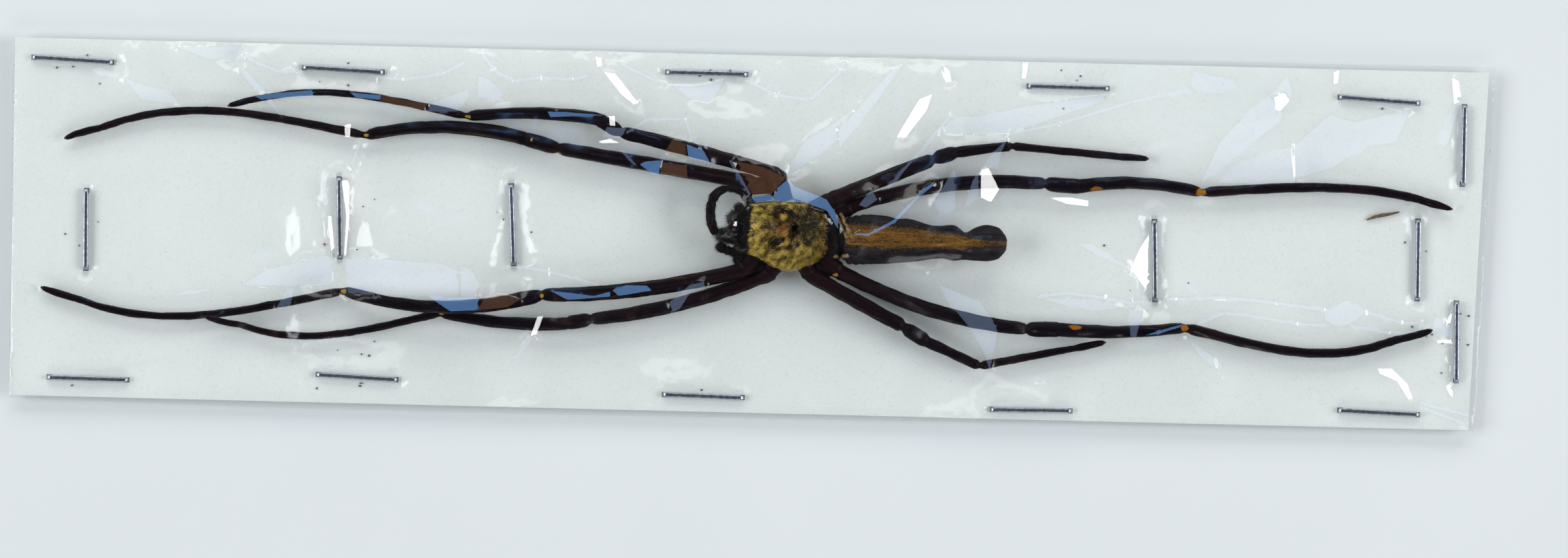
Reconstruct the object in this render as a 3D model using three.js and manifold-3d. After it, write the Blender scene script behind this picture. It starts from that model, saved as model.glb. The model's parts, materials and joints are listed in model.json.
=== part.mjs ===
// A dried golden silk orb weaver, laid flat on a white card under clear film that wire staples hold down.
// Millimetres, +Z up. The origin is under the middle of the card, at the level the staples stand on.
// The spider faces -X, so its right legs (r) lie on the +Y side and its left legs (l) on the -Y side.
import * as THREE from "three";
import { mergeVertices } from "three/addons/utils/BufferGeometryUtils.js";
import Module from "manifold-3d";

const wasm = await Module();
wasm.setup();

// Driving dimensions
const GAP = 0.3;
const CARD = { length: 167.2, width: 40.6, thickness: 0.6, leftSlant: 0.4, rightSlant: 1.4 };
const STAPLE = { crown: 9.3, wire: 0.5, clinch: 3.6 };
const FILM = { thickness: 0.4, cellsAlong: 64, cellsAcross: 20, rasterStep: 0.35, sweeps: 120, settle: 10 };
const LEG_SIDES = 8;
const METATARSUS_CURL = 0.45;

const CARD_BOTTOM = STAPLE.wire + GAP;
const CARD_TOP = CARD_BOTTOM + CARD.thickness;
const REST = CARD_TOP + GAP;
const FILM_FLAT = REST;

// Each staple is the middle of its crown and the heading of the crown in degrees.
const STAPLES = [
  [-77.0, 17.9, -2.4],
  [-46.3, 17.5, -1.9],
  [-5.1, 18.1, -0.3],
  [35.9, 17.5, -0.3],
  [71.2, 16.9, -3.0],
  [-74.4, -18.2, -0.8],
  [-43.9, -17.3, -2.5],
  [-4.6, -18.5, -0.8],
  [32.6, -19.2, 0.3],
  [72.0, -18.5, -1.9],
  [-75.0, -1.3, -89.2],
  [-46.3, 0.7, -88.1],
  [-26.7, 0.4, -86.9],
  [46.2, -1.9, -88.1],
  [76.0, -1.1, -89.2],
  [80.9, 12.0, -90.3],
  [80.6, -10.3, -89.2],
];

// Body sizes. Heights count from the level on which the body lies.
const PROSOMA = { length: 10.6, width: 7.8, front: -1.15, skew: 0.8, rim: 2.4, lie: 0.1 };
const ABDOMEN = { length: 18.7, width: 5.3, front: 10.55, side: -0.4 };
const PEDICEL = { width: 2.8, height: 2.2, level: 1.75, side: -0.5 };
const CHELICERA = { radius: 0.92, spread: 0.95 };
const PALP_RADIUS = 0.46;

// Diameters of each leg's segments.
const THICKNESS = {
  1: { coxa: 2.05, femur: 1.75, patella: 1.65, tibia: 1.45, metatarsus: 0.92, tarsus: 0.8 },
  2: { coxa: 2.2, femur: 1.65, patella: 1.55, tibia: 1.26, metatarsus: 0.84, tarsus: 0.74 },
  3: { coxa: 1.85, femur: 1.75, patella: 1.6, tibia: 1.16, metatarsus: 0.9, tarsus: 0.8 },
  4: { coxa: 1.95, femur: 1.65, patella: 1.7, tibia: 1.42, metatarsus: 1.1, tarsus: 0.86 },
};

// Each segment is its length seen from above, its heading in degrees, the height of its far end over the
// surface that the body lies on, and how far its middle bows to the +Y side and upwards.
const LEGS = {
  r1: {
    hip: [2.2, 2.7, 1.4],
    coxa: [3.7, 122.0, 1.2],
    femur: [22.1, 171.4, 1.35],
    patella: [3.9, 165.7, 1.1],
    tibia: [18.0, 180.0, 0.75, 1.15],
    metatarsus: [30.2, 179.8, 0.55, 2.2],
    tarsus: [4.3, -162.5, 0.45, 0.1],
  },
  r2: {
    hip: [4.4, 2.6, 2.2],
    coxa: [4.4, 108.0, 1.9],
    femur: [18.2, 166.2, 1.35, 0.2],
    patella: [3.0, 150.8, 1.1],
    tibia: [14.7, -179.8, 0.8, 0.5],
    metatarsus: [23.4, 176.4, 0.9, 1.3],
    tarsus: [4.0, -165.7, 1.35, 0.1],
  },
  r3: {
    hip: [6.2, 2.4, 2.2],
    coxa: [3.5, 28.5, 2.4],
    femur: [12.5, 22.9, 1.5],
    patella: [2.4, 19.7, 1.2],
    tibia: [6.6, 8.0, 0.8],
    metatarsus: [12.2, -4.2, 0.55],
    tarsus: [3.5, -2.7, 0.45],
  },
  r4: {
    hip: [8.4, 1.7, 1.6],
    coxa: [3.6, 28.4, 1.3],
    femur: [22.2, 7.9, 1.2, 1.2],
    patella: [3.9, -2.9, 1.0],
    tibia: [13.7, -1.4, 0.8, 0.7],
    metatarsus: [23.9, 0.0, 0.55, 0.85],
    tarsus: [4.9, -14.6, 0.45],
  },
  l1: {
    hip: [1.5, -1.7, 1.9],
    coxa: [3.1, -128.8, 1.9],
    femur: [22.9, -171.6, 1.3, -0.75],
    patella: [4.0, -166.7, 1.5],
    tibia: [18.5, 177.4, 0.75, -1.1, 1.15],
    metatarsus: [30.4, -177.0, 0.55, -2.25],
    tarsus: [4.3, 163.7, 0.45, -0.1],
  },
  l2: {
    hip: [4.0, -2.2, 1.6],
    coxa: [3.0, -126.3, 1.25],
    femur: [20.4, -164.6, 1.3, -0.8],
    patella: [2.8, -167.6, 1.1],
    tibia: [14.3, 176.5, 0.5, -0.5],
    metatarsus: [22.8, -175.2, 0.75, -1.7],
    tarsus: [4.1, 168.2, 1.6, -0.1],
  },
  l3: {
    hip: [6.0, -2.3, 2.0],
    coxa: [2.4, -63.8, 1.9],
    femur: [12.2, -27.5, 1.3],
    patella: [2.9, -31.8, 1.1],
    tibia: [6.8, -23.5, 0.75],
    metatarsus: [10.9, 12.0, 0.75],
    tarsus: [3.7, 12.2, 0.95],
  },
  l4: {
    hip: [7.8, -1.8, 1.7],
    coxa: [3.4, -40.0, 1.5],
    femur: [22.3, -15.6, 1.3, -1.2],
    patella: [3.7, 0.2, 1.1],
    tibia: [14.1, 2.3, 0.8, -0.4],
    metatarsus: [23.7, -2.2, 0.55, -1.9],
    tarsus: [4.7, 16.4, 0.45, -0.1],
  },
};

const COLOURS = {
  gold: new THREE.MeshStandardMaterial({ color: 0x6b5426, roughness: 0.6 }),
  chitin: new THREE.MeshStandardMaterial({ color: 0x17100f, roughness: 0.4 }),
  abdomen: new THREE.MeshStandardMaterial({ color: 0x3a2412, roughness: 0.6 }),
  eye: new THREE.MeshStandardMaterial({ color: 0x0a0808, roughness: 0.1 }),
  card: new THREE.MeshStandardMaterial({ color: 0xdde3e1, roughness: 0.7 }),
  film: new THREE.MeshStandardMaterial({ color: 0xf2f6f8, roughness: 0.1, transparent: true, opacity: 0.15 }),
  steel: new THREE.MeshStandardMaterial({ color: 0xa9afb5, roughness: 0.3, metalness: 1.0 }),
};

const radians = THREE.MathUtils.degToRad;
const part = new THREE.Group();
const animal = new THREE.Group();
part.add(animal);

// Solids

function toSolid(geometry) {
  const plain = geometry.clone();
  plain.deleteAttribute("normal");
  plain.deleteAttribute("uv");
  const merged = mergeVertices(plain, 1e-4);
  return new wasm.Manifold(
    new wasm.Mesh({
      numProp: 3,
      vertProperties: merged.attributes.position.array,
      triVerts: new Uint32Array(merged.index.array),
    }),
  );
}

function toGeometry(solid) {
  const mesh = solid.getMesh();
  const geometry = new THREE.BufferGeometry();
  geometry.setAttribute("position", new THREE.BufferAttribute(mesh.vertProperties, 3));
  geometry.setIndex(new THREE.BufferAttribute(mesh.triVerts, 1));
  geometry.computeVertexNormals();
  return geometry;
}

function largestPiece(solid) {
  return solid.decompose().reduce((best, piece) => (piece.volume() > best.volume() ? piece : best));
}

function addNode(parent, name, solid, material) {
  const mesh = new THREE.Mesh(toGeometry(solid), material);
  mesh.name = name;
  parent.add(mesh);
  return mesh;
}

// Moves every vertex of a geometry by a function of its place.
function warp(geometry, move) {
  const position = geometry.attributes.position;
  const point = new THREE.Vector3();
  for (let i = 0; i < position.count; i++) {
    point.fromBufferAttribute(position, i);
    position.setXYZ(i, ...move(point).toArray());
  }
  return geometry;
}

// The direction of a line of stations at each of them. The points before and after the line, if there are
// any, turn its two ends to face its neighbours.
function headings(stations, before, after) {
  const points = [before, ...stations.map((station) => station.at), after];
  return stations.map((station, i) => {
    const from = points[i] ?? station.at;
    const to = points[i + 2] ?? station.at;
    return to.clone().sub(from).normalize();
  });
}

// A closed tube through stations of { at, wide, high }, with the section left upright. The section function
// takes the unit circle's point and the station's number and gives its place in units of wide and high.
function tube(stations, sides, directions = headings(stations), section = (x, z) => [x, z]) {
  const last = stations.length - 1;
  const frames = directions.map((along) => {
    const across = along.clone().cross(new THREE.Vector3(0, 0, 1)).normalize();
    return { across, up: across.clone().cross(along) };
  });
  const geometry = new THREE.CylinderGeometry(1, 1, 1, sides, last);
  warp(geometry, (p) => {
    const i = Math.round((p.y + 0.5) * last);
    const { at, wide, high } = stations[i];
    const [x, z] = section(p.x, p.z, i);
    return at
      .clone()
      .addScaledVector(frames[i].across, x * wide)
      .addScaledVector(frames[i].up, z * high);
  });
  return toSolid(geometry);
}

// A solid made larger about its middle by a distance on every side, to cut its neighbours clear of it.
function grown(solid, by) {
  const { min, max } = solid.boundingBox();
  const middle = min.map((low, k) => (low + max[k]) / 2);
  const factors = min.map((low, k) => 1 + (2 * by) / (max[k] - low));
  const back = middle.map((m) => -m);
  return solid.translate(back).scale(factors).translate(middle);
}

// Straight runs between the pairs [place, value] of a profile.
function profile(pairs, t) {
  const i = Math.max(1, pairs.findIndex(([place]) => place >= t));
  const [t0, v0] = pairs[i - 1];
  const [t1, v1] = pairs[i];
  return v0 + ((v1 - v0) * (t - t0)) / (t1 - t0);
}

// Card and staples

function cardCorners() {
  const x = CARD.length / 2;
  const y = CARD.width / 2;
  return [
    [-x + CARD.leftSlant, -y],
    [x - CARD.rightSlant, -y],
    [x, y],
    [-x, y],
  ];
}

// The two places where a staple's wire goes through the card.
function piercings([x, y, heading]) {
  const reach = (STAPLE.crown - STAPLE.wire) / 2;
  const along = [Math.cos(radians(heading)), Math.sin(radians(heading))];
  return [-reach, reach].map((d) => [x + along[0] * d, y + along[1] * d, heading]);
}

function buildCard() {
  const outline = new THREE.Shape(cardCorners().map(([x, y]) => new THREE.Vector2(x, y)));
  const half = STAPLE.wire / 2 + GAP;
  for (const [x, y, heading] of STAPLES.flatMap(piercings)) {
    const turn = radians(heading);
    const corners = [1, 3, 5, 7].map((k) => {
      const angle = turn + (k * Math.PI) / 4;
      return new THREE.Vector2(x + half * Math.SQRT2 * Math.cos(angle), y + half * Math.SQRT2 * Math.sin(angle));
    });
    outline.holes.push(new THREE.Path(corners));
  }
  const geometry = new THREE.ExtrudeGeometry(outline, { depth: CARD.thickness, bevelEnabled: false });
  geometry.translate(0, 0, CARD_BOTTOM);
  addNode(part, "card", toSolid(geometry), COLOURS.card);
}

// The crown and both bent legs are one wire, drawn as a C in the upright plane through the crown.
function buildStaple(name, [x, y, heading], level) {
  const half = STAPLE.crown / 2;
  const wire = STAPLE.wire;
  const top = level + wire;
  const corners = [
    [-half, 0],
    [-half + STAPLE.clinch, 0],
    [-half + STAPLE.clinch, wire],
    [-half + wire, wire],
    [-half + wire, top - wire],
    [half - wire, top - wire],
    [half - wire, wire],
    [half - STAPLE.clinch, wire],
    [half - STAPLE.clinch, 0],
    [half, 0],
    [half, top],
    [-half, top],
  ];
  const outline = new THREE.Shape(corners.map(([u, v]) => new THREE.Vector2(u, v)));
  const geometry = new THREE.ExtrudeGeometry(outline, { depth: wire, bevelEnabled: false });
  geometry.translate(0, 0, -wire / 2);
  geometry.rotateX(Math.PI / 2);
  const staple = addNode(part, name, toSolid(geometry), COLOURS.steel);
  staple.position.set(x, y, 0);
  staple.rotation.z = radians(heading);
}

// Body

// Body sections stand upright across this direction.
const LENGTHWISE = new THREE.Vector3(1, 0, 0);

function prosomaSolid() {
  const halfWidth = [
    [0, 0.42],
    [0.04, 0.62],
    [0.12, 0.74],
    [0.22, 0.78],
    [0.3, 0.84],
    [0.42, 0.97],
    [0.58, 1.0],
    [0.72, 0.92],
    [0.86, 0.7],
    [0.95, 0.46],
    [1, 0.26],
  ];
  const crest = [
    [0, 3.6],
    [0.04, 4.6],
    [0.12, 5.25],
    [0.22, 5.3],
    [0.34, 4.75],
    [0.42, 4.7],
    [0.56, 4.85],
    [0.72, 4.6],
    [0.86, 3.9],
    [0.95, 3.1],
    [1, 2.6],
  ];
  const places = halfWidth.map(([t]) => t);
  const stations = places.map((t) => {
    const skew = PROSOMA.skew * Math.max(0, 1 - t / 0.5);
    return {
      at: new THREE.Vector3(PROSOMA.front + PROSOMA.length * t, skew, REST + PROSOMA.rim),
      wide: (PROSOMA.width / 2) * profile(halfWidth, t),
      high: 1,
    };
  });
  const section = (x, z, i) => {
    const above = profile(crest, places[i]) - PROSOMA.rim;
    const below = (PROSOMA.rim - PROSOMA.lie) * Math.min(1, 0.55 + 4 * places[i], 0.55 + 4 * (1 - places[i]));
    const tuck = z < 0 ? 1 - 0.36 * z * z : 1;
    return [x * tuck, z < 0 ? z * below : z * above];
  };
  return tube(stations, 20, stations.map(() => LENGTHWISE), section);
}

// A pair of small cones behind the head groove, one on each side of the middle.
function carapaceHorns() {
  const places = [
    [4.1, 1.9],
    [3.5, -0.9],
  ];
  return places.map(([x, y]) => {
    const horn = new THREE.CylinderGeometry(0.22, 0.5, 1.0, 8);
    horn.rotateX(Math.PI / 2);
    horn.translate(x, y, REST + 4.75);
    return toSolid(horn);
  });
}

function ball(radius, x, y, z) {
  const sphere = new THREE.SphereGeometry(radius, 8, 6);
  sphere.translate(x, y, z);
  return toSolid(sphere);
}

// Each node is a low mound with eyes on it: four in the middle of the brow and two at each of its corners.
// A mound is [radius, forward, sideways, height], and its eyes stand at [forward, sideways, height] from it.
const EYE_RADIUS = 0.26;
const EYE_MOUNDS = {
  eyes_median: {
    mound: [0.8, -0.15, 0, 4.3],
    eyes: [
      [-0.56, 0.34, 0.15],
      [-0.56, -0.34, 0.15],
      [-0.2, 0.38, 0.6],
      [-0.2, -0.38, 0.6],
    ],
  },
  eyes_lateral_r: {
    mound: [0.58, 0.2, 2.1, 3.95],
    eyes: [
      [-0.42, 0.12, 0.2],
      [-0.1, 0.36, 0.36],
    ],
  },
  eyes_lateral_l: {
    mound: [0.58, 0.2, -2.1, 3.95],
    eyes: [
      [-0.42, -0.12, 0.2],
      [-0.1, -0.36, 0.36],
    ],
  },
};

function buildEyes(clear) {
  for (const [name, { mound, eyes }] of Object.entries(EYE_MOUNDS)) {
    const [radius, forward, sideways, height] = mound;
    const middle = [PROSOMA.front + forward, PROSOMA.skew + sideways, REST + height];
    const pieces = [ball(radius, ...middle)];
    for (const offset of eyes) pieces.push(ball(EYE_RADIUS, ...middle.map((m, k) => m + offset[k])));
    addNode(animal, name, largestPiece(wasm.Manifold.union(pieces).subtract(clear)), COLOURS.eye);
  }
}

// Points of a short limb, each [x, y, height], with a radius at each.
function limb(points, radii, sides = 8) {
  const stations = points.map(([x, y, z], i) => ({
    at: new THREE.Vector3(x, y, REST + z),
    wide: radii[i],
    high: radii[i],
  }));
  return tube(stations, sides);
}

// A jaw hangs from under the head, its fang folded in below its tip. The left one stands further forward.
function buildJaws(clear) {
  const r = CHELICERA.radius;
  for (const [side, sign, forward] of [
    ["r", 1, 0.1],
    ["l", -1, 1.55],
  ]) {
    const y = PROSOMA.skew - 0.1 + sign * CHELICERA.spread;
    const x = PROSOMA.front + 0.1;
    const jaw = limb(
      [
        [x + 0.7, y, 2.7],
        [x, y, 2.55],
        [x - 0.35 - forward * 0.5, y, 2.1],
        [x - 0.4 - forward, y, 1.5],
        [x - 0.38 - forward * 1.15, y, 1.05],
      ],
      [r * 0.8, r * 0.95, r, r * 0.82, r * 0.5],
      10,
    );
    addNode(animal, `chelicera_${side}`, largestPiece(jaw.subtract(clear)), COLOURS.chitin);
    const tip = x - 0.38 - forward * 1.15;
    const fang = limb(
      [
        [tip - 0.05, y, 0.5],
        [tip + 0.45, y - sign * 0.15, 0.36],
        [tip + 0.95, y - sign * 0.35, 0.3],
        [tip + 1.35, y - sign * 0.55, 0.27],
      ],
      [0.26, 0.25, 0.2, 0.1],
      6,
    );
    addNode(animal, `fang_${side}`, largestPiece(fang.subtract(clear)), COLOURS.chitin);
  }
}

// The right palp curls round in front of the jaws and the left one points straight ahead.
function buildPalps(clear) {
  const r = PALP_RADIUS;
  const right = limb(
    [
      [0.7, 2.7, 2.8],
      [-0.3, 4.1, 3.1],
      [-1.1, 4.85, 3.2],
      [-2.3, 5.05, 3.2],
      [-3.45, 4.6, 3.2],
      [-4.1, 3.6, 3.2],
      [-4.25, 2.4, 3.2],
      [-4.15, 1.3, 3.2],
      [-3.85, 0.4, 3.2],
      [-3.45, -0.3, 3.15],
    ],
    [r, r, r * 0.85, r * 0.85, r * 1.05, r * 1.15, r * 1.15, r * 1.15, r * 1.1, r * 0.7],
  );
  const left = limb(
    [
      [0.3, -1.5, 2.5],
      [-0.6, -2.0, 2.6],
      [-1.5, -2.1, 2.75],
      [-2.3, -1.9, 2.95],
      [-3.0, -1.6, 2.95],
      [-3.6, -1.35, 2.85],
    ],
    [r * 0.9, r * 0.9, r, r, r * 1.2, r * 0.9],
  );
  addNode(animal, "palp_r", largestPiece(right.subtract(clear)), COLOURS.chitin);
  addNode(animal, "palp_l", largestPiece(left.subtract(clear)), COLOURS.chitin);
}

// Cross-sections of the dried abdomen, which lies on its belly, is pinched before a round tail and has its
// tail raised over the spinnerets: place along it, share of the width, underside, back and sideways shift.
const ABDOMEN_SECTIONS = [
  [0, 0.62, 0.9, 2.7, 0.1],
  [0.02, 0.88, 0.4, 3.3, 0.05],
  [0.06, 0.99, 0.15, 3.7, 0],
  [0.14, 1.0, 0.1, 3.8, 0],
  [0.235, 1.0, 0.05, 3.85, 0],
  [0.39, 0.93, 0.05, 3.75, 0],
  [0.52, 0.76, 0.1, 3.55, -0.02],
  [0.62, 0.68, 0.15, 3.45, -0.05],
  [0.675, 0.71, 0.2, 3.4, -0.12],
  [0.75, 0.55, 0.4, 3.3, -0.45],
  [0.81, 0.7, 1.0, 3.4, -0.15],
  [0.875, 0.77, 1.2, 3.5, 0],
  [0.945, 0.68, 1.25, 3.3, 0],
  [0.98, 0.45, 1.35, 2.95, 0],
  [1, 0.22, 1.7, 2.6, 0],
];

function buildAbdomen() {
  const stations = ABDOMEN_SECTIONS.map(([t, wide, low, high, side]) => ({
    at: new THREE.Vector3(ABDOMEN.front + ABDOMEN.length * t, ABDOMEN.side + side, REST + (low + high) / 2),
    wide: (ABDOMEN.width / 2) * wide,
    high: (high - low) / 2,
  }));
  const folded = (x, z, i) => {
    const folds = 1 - 0.045 * Math.cos(5 * Math.atan2(z, x)) * (i % 2 ? 1 : 0.4);
    const sunkenBack = z > 0.55 ? 0.1 * (z - 0.55) : 0;
    return [x * folds, z * folds - sunkenBack];
  };
  const abdomen = tube(stations, 18, stations.map(() => LENGTHWISE), folded);
  addNode(animal, "abdomen", abdomen, COLOURS.abdomen);
}

// Two pairs of cones on one base, pointing back and down from under the raised tail.
function buildSpinnerets() {
  const root = ABDOMEN.front + ABDOMEN.length - 2.6;
  const y = ABDOMEN.side;
  const pieces = [ball(0.4, root, y, REST + 0.42)];
  for (const [side, length] of [
    [0.3, 1.3],
    [-0.3, 1.3],
    [0.14, 1.6],
    [-0.14, 1.6],
  ]) {
    const points = [
      [root - 0.1, y + side * 0.6, 0.5],
      [root + 0.5 * length, y + side, 0.42],
      [root + length, y + side * 1.5, 0.3],
    ];
    pieces.push(limb(points, [0.26, 0.26, 0.12], 6));
  }
  addNode(animal, "spinnerets", wasm.Manifold.union(pieces), COLOURS.chitin);
}

function buildPedicel(clear) {
  const from = PROSOMA.front + PROSOMA.length - 1.0;
  const to = ABDOMEN.front - GAP;
  const level = REST + PEDICEL.level;
  const stalk = tube(
    [from, (from + to) / 2, to].map((x, i) => ({
      at: new THREE.Vector3(x, PEDICEL.side, level),
      wide: (PEDICEL.width / 2) * (i === 1 ? 0.85 : 1),
      high: (PEDICEL.height / 2) * (i === 1 ? 0.85 : 1),
    })),
    10,
  );
  addNode(animal, "pedicel", largestPiece(stalk.subtract(clear)), COLOURS.chitin);
}

// Legs

// Shares of a segment's radius along it: swollen, waisted at the joints, or drawn out to the claw.
const SWELLINGS = {
  coxa: [
    [0, 1.0],
    [0.5, 1.0],
    [0.74, 0.92],
    [0.88, 1.04],
    [1, 0.86],
  ],
  femur: [
    [0.05, 1.0],
    [0.25, 1.0],
    [0.55, 1.0],
    [0.8, 0.95],
    [0.95, 0.88],
    [1, 0.68],
  ],
  patella: [
    [0, 0.7],
    [0.3, 0.98],
    [0.7, 1.0],
    [1, 0.72],
  ],
  tibia: [
    [0.08, 0.92],
    [0.35, 1.0],
    [0.65, 0.97],
    [0.92, 0.92],
    [1, 0.66],
  ],
  metatarsus: [
    [0, 0.8],
    [0.05, 1.1],
    [0.22, 1.02],
    [0.42, 1.0],
    [0.62, 0.96],
    [0.82, 0.92],
    [1, 0.84],
  ],
  tarsus: [
    [0.2, 1.0],
    [0.6, 0.96],
    [0.85, 0.78],
    [1, 0.34],
  ],
};

// One segment's end points, bow and stations, starting where the segment before it ended.
function segmentStations(kind, start, [length, heading, height, bow = 0, lift = 0], diameter) {
  const turn = radians(heading);
  const end = new THREE.Vector3(
    start.x + length * Math.cos(turn),
    start.y + length * Math.sin(turn),
    REST + height,
  );
  const stations = SWELLINGS[kind].map(([t, share]) => {
    const at = start.clone().lerp(end, t);
    const arch = 4 * t * (1 - t);
    const curl = kind === "metatarsus" ? METATARSUS_CURL : 0;
    at.y += bow * arch * (1 + curl * (2 * t - 1));
    at.z += lift * arch;
    return { at, wide: (diameter / 2) * share, high: (diameter / 2) * share };
  });
  return { end, stations };
}

// The leg is three solids, and where two of them meet, both end on the same slant with a gap between.
function buildLeg(name, clear) {
  const leg = LEGS[name];
  const thickness = THICKNESS[name[1]];
  let start = new THREE.Vector3(leg.hip[0], leg.hip[1], REST + leg.hip[2]);
  const pieces = [
    ["coxa", "femur"],
    ["patella", "tibia"],
    ["metatarsus", "tarsus"],
  ];
  const lines = pieces.map((kinds) =>
    kinds.flatMap((kind) => {
      const segment = segmentStations(kind, start, leg[kind], thickness[kind]);
      start = segment.end;
      return segment.stations;
    }),
  );
  pieces.forEach((kinds, k) => {
    const directions = headings(lines[k], lines[k - 1]?.at(-2).at, lines[k + 1]?.[1].at);
    const stations = lines[k].map((station) => ({ ...station, at: station.at.clone() }));
    if (k > 0) stations[0].at.addScaledVector(directions[0], GAP / 2);
    if (k < 2) stations.at(-1).at.addScaledVector(directions.at(-1), -GAP / 2);
    const solid = tube(stations, LEG_SIDES, directions);
    const trimmed = k === 0 ? largestPiece(solid.subtract(clear)) : solid;
    addNode(animal, `leg_${name}_${kinds.join("_")}`, trimmed, COLOURS.chitin);
  });
}

// Film

const CELL = { x: CARD.length / FILM.cellsAlong, y: CARD.width / FILM.cellsAcross };

// How much the slanted ends draw the film's grid in at a place, as a share of its distance from the middle.
function lean(x, y) {
  const slant = x < 0 ? CARD.leftSlant : CARD.rightSlant;
  return 1 - (2 * slant * (0.5 - y / CARD.width)) / CARD.length;
}

// The corners of the film's triangle over a place, each [column, row, weight]. Every cell of the grid is
// split along the diagonal that runs up to the right.
function cornersAt(x, y) {
  const u = (x / lean(x, y) + CARD.length / 2) / CELL.x;
  const v = (y + CARD.width / 2) / CELL.y;
  const [i, j] = [Math.floor(u), Math.floor(v)];
  const [s, t] = [u - i, v - j];
  const far = [i + 1, j + 1, Math.min(s, t)];
  return s > t
    ? [[i, j, 1 - s], [i + 1, j, s - t], far]
    : [[i, j, 1 - t], [i, j + 1, t - s], far];
}

function heightAt(heights, x, y) {
  return cornersAt(x, y).reduce((sum, [i, j, weight]) => sum + weight * heights[i][j], 0);
}

// Points on top of the animal on a fine raster, each with copies on four sides to keep the film off its flanks.
function animalTops() {
  const spread = GAP + FILM.rasterStep / 2;
  const copies = [[0, 0], [spread, 0], [-spread, 0], [0, spread], [0, -spread]];
  const ray = new THREE.Raycaster();
  const down = new THREE.Vector3(0, 0, -1);
  const above = 50;
  const tops = [];
  for (let x = -CARD.length / 2; x < CARD.length / 2; x += FILM.rasterStep) {
    for (let y = -CARD.width / 2; y < CARD.width / 2; y += FILM.rasterStep) {
      ray.set(new THREE.Vector3(x, y, above), down);
      const hit = ray.intersectObjects(animal.children, false)[0];
      if (hit) copies.forEach(([dx, dy]) => tops.push({ x: x + dx, y: y + dy, z: hit.point.z }));
    }
  }
  return tops;
}

// Whether a place lies under a staple's crown or within reach of it.
function underCrown(x, y, reach) {
  return STAPLES.some(([sx, sy, heading]) => {
    const offset = new THREE.Vector2(x - sx, y - sy).rotateAround(new THREE.Vector2(), -radians(heading));
    return Math.abs(offset.x) < STAPLE.crown / 2 + reach && Math.abs(offset.y) < reach;
  });
}

// Raises the corners round each point that the film would come too near.
function liftClear(heights, tops) {
  for (const { x, y, z } of tops) {
    const corners = cornersAt(x, y);
    const lack = z + GAP - heightAt(heights, x, y);
    const share = lack / corners.reduce((sum, [, , weight]) => sum + weight * weight, 0);
    if (lack > 0) corners.forEach(([i, j, weight]) => (heights[i][j] += weight * share));
  }
}

// The heights of the film's underside on its grid. It is pulled taut between the card's edges and the
// staples, and lifted wherever the animal would come nearer than the gap.
function filmHeights() {
  const tops = animalTops();
  const heights = Array.from({ length: FILM.cellsAlong + 1 }, () => new Array(FILM.cellsAcross + 1).fill(FILM_FLAT));
  const pinned = heights.map((column, i) =>
    column.map((_, j) => underCrown(i * CELL.x - CARD.length / 2, j * CELL.y - CARD.width / 2, CELL.x / 2)),
  );
  for (let sweep = 0; sweep < FILM.sweeps; sweep++) {
    for (let i = 1; i < FILM.cellsAlong; i++) {
      for (let j = 1; j < FILM.cellsAcross; j++) {
        const around = heights[i - 1][j] + heights[i + 1][j] + heights[i][j - 1] + heights[i][j + 1];
        heights[i][j] = pinned[i][j] ? FILM_FLAT : around / 4;
      }
    }
    liftClear(heights, tops);
  }
  for (let pass = 0; pass < FILM.settle; pass++) liftClear(heights, tops);
  return heights;
}

// A closed sheet between the grid of heights and the same grid raised by the film's thickness, with both
// faces split along the same diagonals.
function sheetSolid(heights) {
  const columns = FILM.cellsAlong + 1;
  const rows = FILM.cellsAcross + 1;
  const layer = columns * rows;
  const positions = [];
  for (const lift of [0, FILM.thickness]) {
    for (let i = 0; i < columns; i++) {
      for (let j = 0; j < rows; j++) {
        const x = -CARD.length / 2 + i * CELL.x;
        const y = -CARD.width / 2 + j * CELL.y;
        positions.push(x * lean(x, y), y, heights[i][j] + lift);
      }
    }
  }
  const index = [];
  const corner = (i, j) => i * rows + j;
  for (let i = 0; i < FILM.cellsAlong; i++) {
    for (let j = 0; j < FILM.cellsAcross; j++) {
      const [a, b, c, d] = [corner(i, j), corner(i + 1, j), corner(i + 1, j + 1), corner(i, j + 1)];
      index.push(a, c, b, a, d, c);
      index.push(a + layer, b + layer, c + layer, a + layer, c + layer, d + layer);
    }
  }
  const rim = [];
  for (let i = 0; i < FILM.cellsAlong; i++) rim.push(corner(i, 0));
  for (let j = 0; j < FILM.cellsAcross; j++) rim.push(corner(FILM.cellsAlong, j));
  for (let i = FILM.cellsAlong; i > 0; i--) rim.push(corner(i, FILM.cellsAcross));
  for (let j = FILM.cellsAcross; j > 0; j--) rim.push(corner(0, j));
  rim.forEach((from, k) => {
    const to = rim[(k + 1) % rim.length];
    index.push(from, to, to + layer, from, to + layer, from + layer);
  });
  const geometry = new THREE.BufferGeometry();
  geometry.setAttribute("position", new THREE.Float32BufferAttribute(positions, 3));
  geometry.setIndex(index);
  return toSolid(geometry);
}

function buildFilm(heights) {
  const side = STAPLE.wire + 2 * GAP;
  const holes = STAPLES.flatMap(piercings).map(([x, y, heading]) => {
    const hole = new THREE.BoxGeometry(side, side, 8);
    hole.rotateZ(radians(heading));
    hole.translate(x, y, FILM_FLAT);
    return toSolid(hole);
  });
  const film = holes.reduce((solid, hole) => solid.subtract(hole), sheetSolid(heights));
  addNode(part, "film_cover", largestPiece(film), COLOURS.film);
}

// A crown lies over the highest place of the film under it.
function crownLevel([x, y, heading], heights) {
  const along = new THREE.Vector2(1, 0).rotateAround(new THREE.Vector2(), radians(heading));
  let highest = FILM_FLAT;
  for (let d = -STAPLE.crown / 2; d <= STAPLE.crown / 2; d += STAPLE.wire / 2) {
    for (const e of [-STAPLE.wire, 0, STAPLE.wire]) {
      const px = x + d * along.x - e * along.y;
      const py = y + d * along.y + e * along.x;
      highest = Math.max(highest, heightAt(heights, px, py));
    }
  }
  return highest + FILM.thickness + GAP;
}

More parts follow.
